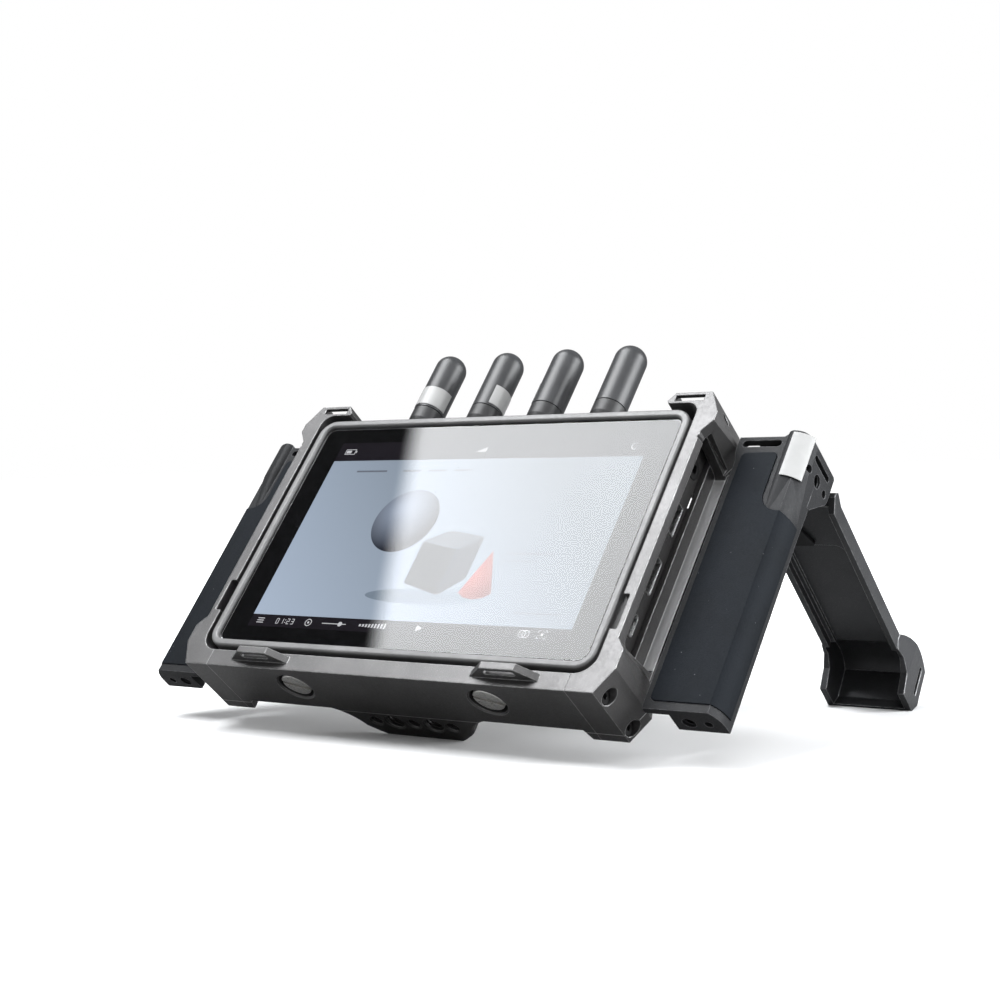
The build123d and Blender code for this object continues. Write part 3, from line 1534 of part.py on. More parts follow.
# Folding leg: a shallow channel that opens towards the handle, with a boot at its end
leg_low_x = leg_centre - leg_width / 2
foot_low_x = leg_centre - foot_width / 2
with BuildPart() as leg_right:
    with BuildSketch(leg_side(leg_low_x)):
        with BuildLine():
            Polyline(
                (leg_root, leg_root_back - leg_root_corner),
                (leg_root + leg_root_top, leg_root_back),
                (leg_root + leg_root_slope, leg_back),
                (foot_start + 4.0, leg_back),
                (foot_start + 12.0, leg_rim),
                (leg_root_rim, leg_rim),
                (leg_root, 2.9),
                close=True,
            )
        make_face()
    extrude(amount=leg_width)
    with BuildSketch(leg_side(foot_low_x)):
        with BuildLine():
            Line((foot_start, leg_back - 2.5), (foot_start, leg_back))
            ThreePointArc((foot_start, leg_back), (foot_crown, foot_crown_back), (foot_heel, foot_heel_back))
            Polyline(
                (foot_heel, foot_heel_back),
                (foot_end, foot_end_rim),
                (foot_tip, foot_rim),
                (foot_rim_start, foot_rim),
                (foot_step, foot_step_rim),
                (foot_blend, leg_rim),
                (foot_start + 2.0, leg_rim),
                (foot_start, leg_back - 2.5),
            )
        make_face()
    extrude(amount=foot_width)
    # the boot widens gradually from the leg
    with BuildSketch(leg_plan(0)):
        for way in (-1, 1):
            Polygon(
                (foot_start - 1.0, way * leg_width / 2),
                (foot_start + foot_flare, way * foot_width / 2),
                (foot_start + foot_flare, way * (foot_width / 2 + 1.0)),
                (foot_start - 1.0, way * (foot_width / 2 + 1.0)),
                align=None,
            )
    extrude(amount=2 * foot_crown_back, both=True, mode=Mode.SUBTRACT)
    # the channel's inside, deeper in a pocket along its middle and in the boot
    with BuildSketch(leg_side(leg_low_x + leg_wall)):
        with BuildLine():
            Polyline(
                (root_inside, leg_back - root_web),
                (foot_start + 6.0, leg_back - root_web),
                (foot_start + 6.0, foot_rim),
                (root_inside, foot_rim),
                close=True,
            )
        make_face()
    extrude(amount=leg_width - 2 * leg_wall, mode=Mode.SUBTRACT)
    with BuildSketch(leg_side(foot_low_x + foot_wall)):
        with BuildLine():
            Line((foot_start + 3.0, foot_rim - 8.0), (foot_start + 3.0, leg_back - leg_web))
            ThreePointArc(
                (foot_start + 3.0, leg_back - leg_web),
                (foot_crown, foot_crown_back - foot_wall),
                (foot_heel - foot_wall, foot_heel_back - foot_wall),
            )
            Polyline(
                (foot_heel - foot_wall, foot_heel_back - foot_wall),
                (foot_end - foot_wall, foot_end_rim),
                (foot_tip - 1.2, foot_rim),
                (foot_tip - 1.2, foot_rim - 8.0),
                (foot_start + 3.0, foot_rim - 8.0),
            )
        make_face()
    extrude(amount=foot_width - 2 * foot_wall, mode=Mode.SUBTRACT)
    with BuildSketch(leg_plan(leg_back - root_web)):
        with Locations(((pocket_start + pocket_end) / 2, 0)):
            RectangleRounded(pocket_end - pocket_start, pocket_width, pocket_corner)
    extrude(amount=root_web - leg_web, mode=Mode.SUBTRACT)
    # strap slot through the boot's outer side
    with BuildSketch(leg_side(leg_centre + foot_width / 2)):
        with Locations((foot_heel - foot_wall - foot_slot_width / 2, (foot_slot_low + foot_slot_high) / 2)):
            SlotOverall(foot_slot_high - foot_slot_low, foot_slot_width, rotation=97)
    extrude(amount=-foot_wall, mode=Mode.SUBTRACT)
    # tongue that turns on the hinge pin
    with BuildSketch(leg_side(cheek_inner + tongue_gap)):
        Circle(tongue_radius)
        with BuildLine():
            Polyline(
                (0, tongue_radius),
                (tongue_reach, leg_back - 0.2),
                (tongue_reach, leg_rim),
                (leg_root_rim, leg_rim - 1.4),
                (0, -tongue_radius),
                close=True,
            )
        make_face()
        Circle(hinge_pin_radius + running_gap, mode=Mode.SUBTRACT)
    extrude(amount=cheek_outer - cheek_inner - 2 * tongue_gap)
hand_in(leg_right, "leg_right")

with BuildPart() as leg_left:
    mirror(leg_right.part, about=Plane.YZ)
hand_in(leg_left, "leg_left")

# Rubber pad inside the leg's root, which meets the handle's rib when folded
with BuildPart() as leg_pad_right:
    with BuildSketch(leg_plan(leg_back - root_web)):
        with BuildLine():
            Polyline(
                (pad_start, leg_centre - pad_inner),
                (pad_end, leg_centre - pad_inner),
                (pad_end, leg_centre - pad_outer),
                (pad_start, leg_centre - pad_outer + pad_slope),
                close=True,
            )
        make_face()
        fillet(vertices(), radius=1.2)
    extrude(amount=-pad_height)
hand_in(leg_pad_right, "leg_pad_right")

with BuildPart() as leg_pad_left:
    mirror(leg_pad_right.part, about=Plane.YZ)
hand_in(leg_pad_left, "leg_pad_left")

print(len(written), "pieces written; leant back by", round(lean, 2), "degrees")
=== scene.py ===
import json
import math

import bmesh
import bpy
from bpy.props import FloatProperty, FloatVectorProperty, IntProperty, PointerProperty
from bpy.types import Operator, Panel, PropertyGroup
from mathutils import Euler, Matrix, Vector


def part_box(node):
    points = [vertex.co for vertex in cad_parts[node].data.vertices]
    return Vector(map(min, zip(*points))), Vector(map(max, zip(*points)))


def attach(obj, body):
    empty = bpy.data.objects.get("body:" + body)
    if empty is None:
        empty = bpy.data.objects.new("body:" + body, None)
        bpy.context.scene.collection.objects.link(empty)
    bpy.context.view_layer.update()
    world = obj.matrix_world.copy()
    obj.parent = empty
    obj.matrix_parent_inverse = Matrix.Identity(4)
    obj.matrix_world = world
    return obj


bl_info = {
    "name": "Cage Monitor",
    "version": (1, 0, 0),
    "blender": (4, 5, 0),
    "location": "3D View > Sidebar > Monitor",
    "description": "Dresses a caged video monitor on folding legs, with its screen, finishes and studio",
    "category": "Object",
}

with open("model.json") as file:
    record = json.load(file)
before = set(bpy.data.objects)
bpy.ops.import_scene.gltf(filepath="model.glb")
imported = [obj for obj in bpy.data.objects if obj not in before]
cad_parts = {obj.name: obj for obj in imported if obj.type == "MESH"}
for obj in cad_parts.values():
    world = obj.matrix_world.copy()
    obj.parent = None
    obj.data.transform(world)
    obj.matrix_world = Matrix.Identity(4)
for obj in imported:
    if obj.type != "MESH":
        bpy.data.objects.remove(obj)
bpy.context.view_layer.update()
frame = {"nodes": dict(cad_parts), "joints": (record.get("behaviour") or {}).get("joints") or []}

# The monitor leans back. Its own axes are X to the right, Y into the screen and Z up the screen,
# in millimetres from the middle of the glass, and an aerial's joint says which way is up.
millimetre = 0.001
glass_thickness = 1.5
joint_list = {joint["name"]: joint for joint in frame["joints"]}
up_screen = Vector(joint_list["aerial_1_turn"]["axis"])
lean = math.atan2(up_screen.y, up_screen.z)
turn_back = Matrix.Rotation(-lean, 4, "X")
glass_low, glass_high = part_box("cover_glass")
glass_centre = (glass_low + glass_high) / 2
to_front = Matrix.Translation((0, -glass_thickness / 2 * millimetre, 0))
stand = Matrix.Translation(glass_centre) @ turn_back @ to_front @ Matrix.Scale(millimetre, 4)
lay_flat = stand.inverted()

# Depths of the screen's sheets behind the front of the glass, and how thick they are
border_layer = 1.46
border_thickness = 0.04
picture_layer = 1.40
motif_layer = 1.34
layer_step = 0.03
layer_thickness = 0.02


# Finishes

def new_finish(name, colour, roughness, metallic=0.0, specular=0.5):
    """Start a material and hand it back with its shader."""
    finish = bpy.data.materials.new(name)
    finish.use_nodes = True
    finish.diffuse_color = (*colour[:3], 1.0)
    shader = finish.node_tree.nodes["Principled BSDF"]
    shader.inputs["Base Color"].default_value = (*colour[:3], 1.0)
    shader.inputs["Roughness"].default_value = roughness
    shader.inputs["Metallic"].default_value = metallic
    shader.inputs["Specular IOR Level"].default_value = specular
    return finish, shader


def add_node(owner, kind, **settings):
    """Add a shader node to a material, world or lamp and set its own fields."""
    node = owner.node_tree.nodes.new(kind)
    for field, value in settings.items():
        setattr(node, field, value)
    return node


def feed(owner, socket, value):
    """Link a socket to another one, or set it to a plain number or colour."""
    if isinstance(value, (int, float)):
        socket.default_value = value
    elif isinstance(value, (tuple, list)):
        socket.default_value = (*value[:3], 1.0)
    else:
        owner.node_tree.links.new(value, socket)


def combine(owner, operation, *values):
    """Work out one value from others, each a number or a socket."""
    node = add_node(owner, "ShaderNodeMath", operation=operation)
    for socket, value in zip(node.inputs, values):
        feed(owner, socket, value)
    return node.outputs[0]


def monitor_axes(finish):
    """Object coordinates turned onto the monitor's own axes, in millimetres."""
    place = add_node(finish, "ShaderNodeTexCoord")
    turned = add_node(finish, "ShaderNodeMapping")
    turned.inputs["Location"].default_value = lay_flat.translation
    turned.inputs["Rotation"].default_value = (lean, 0, 0)
    turned.inputs["Scale"].default_value = (1 / millimetre, 1 / millimetre, 1 / millimetre)
    feed(finish, turned.inputs["Vector"], place.outputs["Object"])
    return turned.outputs["Vector"]


def part_of(owner, where, axis):
    """One of a vector's three parts, by its letter."""
    parts = add_node(owner, "ShaderNodeSeparateXYZ")
    feed(owner, parts.inputs[0], where)
    return parts.outputs[axis]


def direct_view(owner):
    """Whether a ray comes straight from the camera, or from it through the glass."""
    rays = add_node(owner, "ShaderNodeLightPath")
    return combine(owner, "MAXIMUM", rays.outputs["Is Camera Ray"], rays.outputs["Is Transmission Ray"])


def grain(finish, where, scale, detail=2.0):
    """Noise of a given scale per millimetre."""
    noise = add_node(finish, "ShaderNodeTexNoise")
    noise.inputs["Scale"].default_value = scale
    noise.inputs["Detail"].default_value = detail
    feed(finish, noise.inputs["Vector"], where)
    return noise.outputs["Fac"]


def spread(owner, value, low, high, to_low, to_high, smooth=False):
    """Map a value from one range to another, held at its ends."""
    ramp = add_node(owner, "ShaderNodeMapRange", interpolation_type="SMOOTHSTEP" if smooth else "LINEAR")
    for field, number in zip(("From Min", "From Max", "To Min", "To Max"), (low, high, to_low, to_high)):
        feed(owner, ramp.inputs[field], number)
    feed(owner, ramp.inputs["Value"], value)
    return ramp.outputs["Result"]


def patches(finish, where, scale, detail, low=0.35, high=0.65):
    """Soft patches between 0 and 1, of a given scale per millimetre."""
    return spread(finish, grain(finish, where, scale, detail), low, high, 0.0, 1.0)


def tinted(colour, factor, lift=0.0):
    """A colour made lighter or darker, up to white."""
    return tuple(min(1.0, channel * factor + lift) for channel in colour)


def uneven_colour(finish, where, colour, scale, detail, darkest, lightest):
    """A colour that drifts between a darker and a lighter one in soft patches."""
    drift = patches(finish, where, scale, detail)
    return blend_colour(finish, drift, tinted(colour, darkest), tinted(colour, lightest))


def blend_colour(finish, amount, first, second):
    """Mix two colours, each a tuple or a socket, by an amount."""
    mix = add_node(finish, "ShaderNodeMix", data_type="RGBA")
    feed(finish, mix.inputs["Factor"], amount)
    for side, tone in (("A", first), ("B", second)):
        socket = next(item for item in mix.inputs if item.name == side and item.type == "RGBA")
        feed(finish, socket, tone)
    return next(item for item in mix.outputs if item.type == "RGBA")


def round_edges(finish, shader, radius, height, strength, distance):
    """Soften a piece's edges and add a fine height. Returns how near an edge is."""
    rounding = add_node(finish, "ShaderNodeBevel", samples=6)
    rounding.inputs["Radius"].default_value = radius * millimetre
    bump = add_node(finish, "ShaderNodeBump")
    bump.inputs["Strength"].default_value = strength
    bump.inputs["Distance"].default_value = distance
    feed(finish, bump.inputs["Height"], height)
    feed(finish, bump.inputs["Normal"], rounding.outputs["Normal"])
    feed(finish, shader.inputs["Normal"], bump.outputs["Normal"])
    surface = add_node(finish, "ShaderNodeNewGeometry")
    likeness = add_node(finish, "ShaderNodeVectorMath", operation="DOT_PRODUCT")
    feed(finish, likeness.inputs[0], rounding.outputs["Normal"])
    feed(finish, likeness.inputs[1], surface.outputs["Normal"])
    flat, turned = 0.985, 0.86
    return spread(finish, likeness.outputs["Value"], flat, turned, 0.0, 1.0)


def blasted_metal(name, colour, wear_and_highlight, roughness, metallic, edge_radius, specular=0.5, highlight_depth=None):
    """Anodised metal with a fine blasted grain, a little uneven, and lighter at its edges, partly from wear
    and partly as a painted highlight.

    Faces at the highlight depth behind the glass get a painted highlight in the light colour.
    """
    finish, shader = new_finish(name, colour, roughness, metallic, specular)
    where = monitor_axes(finish)
    fine = grain(finish, where, 5.5)
    edge = round_edges(finish, shader, edge_radius, fine, 0.22, 0.00012)
    base = uneven_colour(finish, where, colour, 0.035, 3.0, 0.86, 1.12)
    speckle = blend_colour(finish, spread(finish, fine, 0.62, 0.78, 0.0, 0.35), base, wear_and_highlight)
    edge_lightening = spread(finish, grain(finish, where, 0.5, 3.0), 0.35, 0.7, 0.25, 0.8)
    # edges take the light colour: partly wear, partly a painted highlight for light caught on rounded edges
    shade = blend_colour(finish, combine(finish, "MULTIPLY", edge, edge_lightening), speckle, wear_and_highlight)
    # painted highlight: faces at this depth, the lip's front strip, are made bright
    if highlight_depth is not None:
        highlight_reach = 0.15
        painted_highlight = combine(finish, "COMPARE", part_of(finish, where, "Y"), highlight_depth, highlight_reach)
        shade = blend_colour(finish, painted_highlight, shade, wear_and_highlight)
    feed(finish, shader.inputs["Base Color"], shade)
    gloss = spread(finish, grain(finish, where, 0.9), 0.3, 0.7, roughness - 0.05, roughness + 0.06)
    feed(finish, shader.inputs["Roughness"], gloss)
    return finish


def specked_rubber(name, colour, speck):
    """Near black rubber with a soft sheen, a leathery grain and a few light specks of dust."""
    finish, shader = new_finish(name, colour, 0.62, specular=0.14)
    shader.inputs["Specular Tint"].default_value = (0.80, 0.89, 1.0, 1.0)
    shader.inputs["Sheen Weight"].default_value = 0.03
    shader.inputs["Sheen Roughness"].default_value = 0.45
    where = monitor_axes(finish)
    pores = grain(finish, where, 3.2, 4.0)
    round_edges(finish, shader, 0.5, pores, 0.35, 0.00018)
    base = uneven_colour(finish, where, colour, 0.06, 3.0, 0.8, 1.25)
    dust = add_node(finish, "ShaderNodeTexVoronoi")
    dust.inputs["Scale"].default_value = 0.62
    feed(finish, dust.inputs["Vector"], where)
    near = spread(finish, dust.outputs["Distance"], 0.06, 0.13, 1.0, 0.0)
    chance = add_node(finish, "ShaderNodeSeparateColor")
    feed(finish, chance.inputs[0], dust.outputs["Color"])
    rare = spread(finish, chance.outputs[0], 0.90, 0.96, 0.0, 0.8)
    dusty = blend_colour(finish, combine(finish, "MULTIPLY", near, rare), base, speck)
    feed(finish, shader.inputs["Base Color"], dusty)
    feed(finish, shader.inputs["Roughness"], spread(finish, pores, 0.3, 0.7, 0.56, 0.7))
    return finish


def moulded_plastic(name, colour, roughness, grain_scale, grain_strength, edge_radius=0.3):
    """Moulded plastic with a fine spark-eroded texture and slightly rubbed edges."""
    finish, shader = new_finish(name, colour, roughness)
    where = monitor_axes(finish)
    fine = grain(finish, where, grain_scale, 3.0)
    edge = round_edges(finish, shader, edge_radius, fine, grain_strength, 0.00015)
    base = uneven_colour(finish, where, colour, 0.12, 2.0, 0.88, 1.12)
    edge_lightening = combine(finish, "MULTIPLY", edge, 0.4)
    feed(finish, shader.inputs["Base Color"], blend_colour(finish, edge_lightening, base, tinted(colour, 1.7, 0.01)))
    gloss = spread(finish, fine, 0.3, 0.7, roughness - 0.06, roughness + 0.06)
    feed(finish, shader.inputs["Roughness"], gloss)
    return finish


def brushed_metal(name, colour, roughness):
    """Bare metal with fine brushing along one axis and bright edges."""
    finish, shader = new_finish(name, colour, roughness, 1.0)
    along = add_node(finish, "ShaderNodeMapping")
    along.inputs["Scale"].default_value = (0.4, 9.0, 9.0)
    feed(finish, along.inputs["Vector"], monitor_axes(finish))
    lines = grain(finish, along.outputs["Vector"], 1.0, 4.0)
    edge = round_edges(finish, shader, 0.15, lines, 0.12, 0.00008)
    base = blend_colour(finish, spread(finish, lines, 0.3, 0.7, 0.0, 1.0), tinted(colour, 0.8), colour)
    feed(finish, shader.inputs["Base Color"], blend_colour(finish, edge, base, tinted(colour, 1.15)))
    gloss = spread(finish, lines, 0.3, 0.7, roughness - 0.07, roughness + 0.1)
    feed(finish, shader.inputs["Roughness"], gloss)
    return finish


def circuit_board(name, colour):
    """Solder mask over faint copper tracks."""
    finish, shader = new_finish(name, colour, 0.35)
    tracks = add_node(finish, "ShaderNodeTexBrick", offset=0.5)
    tracks.inputs["Scale"].default_value = 0.5
    tracks.inputs["Mortar Size"].default_value = 0.06
    feed(finish, tracks.inputs["Vector"], monitor_axes(finish))
    round_edges(finish, shader, 0.1, tracks.outputs["Fac"], 0.2, 0.00005)
    lines = blend_colour(finish, tracks.outputs["Fac"], colour, tinted(colour, 1.8))
    feed(finish, shader.inputs["Base Color"], lines)
    return finish


def paper_label(name, colour):
    """White paper under a clear film, slightly soiled at its edges."""
    finish, shader = new_finish(name, colour, 0.42)
    where = monitor_axes(finish)
    fibre = grain(finish, where, 2.4, 4.0)
    edge = round_edges(finish, shader, 0.25, fibre, 0.08, 0.0001)
    soiled = tinted(colour, 0.78)
    stain = spread(finish, grain(finish, where, 0.22, 3.0), 0.35, 0.75, 0.0, 0.35)
    patch = blend_colour(finish, stain, colour, soiled)
    feed(finish, shader.inputs["Base Color"], blend_colour(finish, edge, patch, soiled))
    feed(finish, shader.inputs["Roughness"], spread(finish, fibre, 0.3, 0.7, 0.36, 0.5))
    return finish


def clear_glass(name):
    """Hard clear glass with a few faint smears that only its gloss shows."""
    finish, shader = new_finish(name, (0.97, 0.985, 1.0), 0.01)
    shader.inputs["Transmission Weight"].default_value = 1.0
    shader.inputs["IOR"].default_value = 1.5
    smear = grain(finish, monitor_axes(finish), 0.04, 5.0)
    feed(finish, shader.inputs["Roughness"], spread(finish, smear, 0.5, 0.8, 0.0, 0.012))
    return finish


def black_print(name, colour):
    """Ink on the back of the glass: flat black and very slightly uneven."""
    finish, shader = new_finish(name, colour, 0.5, specular=0.0)
    cloud = patches(finish, monitor_axes(finish), 0.3, 2.0, 0.3, 0.7)
    uneven = blend_colour(finish, cloud, colour, tinted(colour, 1.3, 0.001))
    feed(finish, shader.inputs["Base Color"], uneven)
    return finish


def new_light(name):
    """Start a material of the picture, dark and dull but for the light it gives."""
    finish, shader = new_finish(name, (0.004, 0.004, 0.005), 0.5, specular=0.0)
    shader.inputs["Emission Strength"].default_value = 1.0
    return finish, shader.inputs["Emission Color"]


def lit_screen(name, low, high):
    """Picture light that runs from a pale lower left to a dim upper right, in fine pixels."""
    finish, light = new_light(name)
    where = monitor_axes(finish)
    across = spread(finish, part_of(finish, where, "X"), -75.0, 75.0, 0.0, 0.85)
    upward = spread(finish, part_of(finish, where, "Z"), -42.0, 38.0, 0.0, 0.38)
    pixels = spread(finish, grain(finish, where, 6.0, 1.0), 0.3, 0.7, -0.015, 0.015)
    amount = combine(finish, "ADD", combine(finish, "ADD", across, upward), pixels)
    feed(finish, light, blend_colour(finish, amount, low, high))
    return finish


def lit_tone(name, colour):
    """One tone of the picture, very slightly uneven."""
    finish, light = new_light(name)
    cloud = patches(finish, monitor_axes(finish), 0.5, 2.0, 0.3, 0.7)
    feed(finish, light, blend_colour(finish, cloud, tinted(colour, 0.92), colour))
    return finish


def lit_ball(name, centre, radius, dark, light_tone):
    """Tone of a round thing in the picture: light towards its upper left and dark below."""
    finish, light = new_light(name)
    x, y, z = centre
    shift = add_node(finish, "ShaderNodeVectorMath", operation="DISTANCE")
    feed(finish, shift.inputs[0], monitor_axes(finish))
    shift.inputs[1].default_value = (x - 0.35 * radius, y, z + 0.4 * radius)
    nearness = spread(finish, shift.outputs["Value"], 0.1 * radius, 1.35 * radius, 1.0, 0.0)
    feed(finish, light, blend_colour(finish, nearness, dark, light_tone))
    return finish


def dress(finish, *node_names):
    """Give CAD nodes a finish."""
    for node_name in node_names:
        piece = frame["nodes"][node_name]
        piece.data.materials.clear()
        piece.data.materials.append(finish)


# Pieces

def make_piece(name, shape, finish, body, smooth=False):
    """Turn a shape made on the monitor's axes into a piece that rides on a body."""
    bmesh.ops.transform(shape, matrix=stand, verts=shape.verts)
    mesh = bpy.data.meshes.new(name)
    shape.to_mesh(mesh)
    shape.free()
    for face in mesh.polygons:
        face.use_smooth = smooth
    mesh.materials.append(finish)
    piece = bpy.data.objects.new(name, mesh)
    bpy.context.scene.collection.objects.link(piece)
    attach(piece, body)
    return piece


def raise_faces(shape, faces, height):
    """Give flat faces a thickness towards the viewer, so each one is closed."""
    grown = bmesh.ops.extrude_face_region(shape, geom=faces)
    moved = [item for item in grown["geom"] if isinstance(item, bmesh.types.BMVert)]
    bmesh.ops.translate(shape, verts=moved, vec=(0, -height, 0))


def raise_made(shape, made, height):
    """Give a thickness to the flat faces that an operator has just made."""
    raise_faces(shape, list({face for vert in made["verts"] for face in vert.link_faces}), height)


def flat_place(x, z, layer, wide=1.0, tall=1.0):
    """Where a flat shape lies on the screen, and how far it is stretched."""
    face_on = Matrix.Rotation(math.radians(90), 4, "X")
    return Matrix.Translation((x, layer, z)) @ face_on @ Matrix.Diagonal((wide, tall, 1, 1))


def add_bar(shape, x, z, width, height, layer=motif_layer, thickness=layer_thickness):
    """Flat bar lying on the screen, centred on a place."""
    place = flat_place(x, z, layer, width, height)
    made = bmesh.ops.create_grid(shape, x_segments=1, y_segments=1, size=0.5, matrix=place)
    raise_made(shape, made, thickness)


def add_disc(shape, x, z, radius, layer=motif_layer, squash=1.0, segments=32):
    """Flat disc lying on the screen, round or oval."""
    place = flat_place(x, z, layer, 1.0, squash)
    made = bmesh.ops.create_circle(shape, cap_ends=True, segments=segments, radius=radius, matrix=place)
    raise_made(shape, made, layer_thickness)


def add_ring(shape, x, z, radius, width, start=0.0, sweep=360.0):
    """Flat ring, or part of one, lying on the screen."""
    angle = math.radians(start)
    corners = []
    for out in (radius - width / 2, radius + width / 2):
        for depth in (motif_layer, motif_layer - layer_thickness):
            corners.append(shape.verts.new((x + out * math.cos(angle), depth, z + out * math.sin(angle))))
    first = shape.faces.new((corners[0], corners[1], corners[3], corners[2]))
    bmesh.ops.spin(shape, geom=[first, *first.edges, *first.verts], cent=(x, 0, z), axis=(0, -1, 0),
                   angle=math.radians(sweep), steps=28, use_merge=sweep >= 360.0, use_duplicate=False)


def add_outline(shape, corners, layer=motif_layer):
    """Flat polygon lying on the screen, from its corners in the order of a clock's hands."""
    # the other way round, its face points towards the viewer
    verts = [shape.verts.new((x, layer, z)) for x, z in reversed(corners)]
    raise_faces(shape, [shape.faces.new(verts)], layer_thickness)


numeral_strokes = {"0": "abcdef", "1": "bc", "2": "abged", "3": "abgcd"}


def add_numeral(shape, digit, x, z, height):
    """One counter numeral made of up to seven strokes."""
    width = height * 0.5
    line = height * 0.13
    places = {
        "a": (0, height / 2, width, line), "g": (0, 0, width, line), "d": (0, -height / 2, width, line),
        "f": (-width / 2, height / 4, line, height / 2), "b": (width / 2, height / 4, line, height / 2),
        "e": (-width / 2, -height / 4, line, height / 2), "c": (width / 2, -height / 4, line, height / 2),
    }
    for stroke in numeral_strokes[digit]:
        dx, dz, across, tall = places[stroke]
        add_bar(shape, x + dx, z + dz, across, tall)


class MonitorSizes(PropertyGroup):
    """Sizes and colours of the screen, the threads and the studio."""

    picture_width: FloatProperty(
        name="Lit width", description="Width of the lit display, in millimetres", default=150.8, min=50)
    picture_height: FloatProperty(
        name="Lit height", description="Height of the lit display, in millimetres", default=94.2, min=30)
    top_bar: FloatProperty(
        name="Top bar", description="Height of the dark bar over the picture, in millimetres",
        default=9.8, min=0)
    bottom_bar: FloatProperty(
        name="Bottom bar", description="Height of the dark bar under the picture, in millimetres",
        default=5.7, min=0)
    screen_low: FloatVectorProperty(
        name="Screen pale side", description="Picture colour at its lower left", subtype="COLOR",
        default=(0.43, 0.51, 0.63), min=0, max=1)
    screen_high: FloatVectorProperty(
        name="Screen dim side", description="Picture colour at its upper right", subtype="COLOR",
        default=(0.16, 0.19, 0.22), min=0, max=1)
    cage_colour: FloatVectorProperty(
        name="Cage", description="Colour of the cage's anodised metal", subtype="COLOR",
        default=(0.104, 0.102, 0.102), min=0, max=1)
    # the legs take a lighter copy of this colour as painted light
    handle_colour: FloatVectorProperty(
        name="Handle", description="Colour of the handles and, lighter, of the legs", subtype="COLOR",
        default=(0.026, 0.0265, 0.028), min=0, max=1)
    rubber_colour: FloatVectorProperty(
        name="Rubber", description="Colour of the grips", subtype="COLOR",
        default=(0.0024, 0.0033, 0.0050), min=0, max=1)
    thread_turns: IntProperty(
        name="Thread turns", description="Turns shown in each tab hole", default=4, min=1, max=12)
    lamp_strength: FloatProperty(
        name="Softbox", description="Light of the softbox that the glass mirrors", default=10.8, min=0,
        unit="POWER")
    front_strength: FloatProperty(
        name="Front softbox", description="Light of the softbox over the camera", default=2.6, min=0,
        unit="POWER")
    right_strength: FloatProperty(
        name="Right softbox", description="Light of the softbox to the right", default=12.0, min=0,
        unit="POWER")
    sky_strength: FloatProperty(
        name="Surround", description="Light of the white surround", default=0.24, min=0)
    dim_strength: FloatProperty(
        name="Mirrored surround", description="Light of the surround that the glass mirrors",
        default=0.05, min=0)
    camera_lens: FloatProperty(
        name="Lens", description="Focal length of the photo camera", default=62.82, min=1, unit="CAMERA")


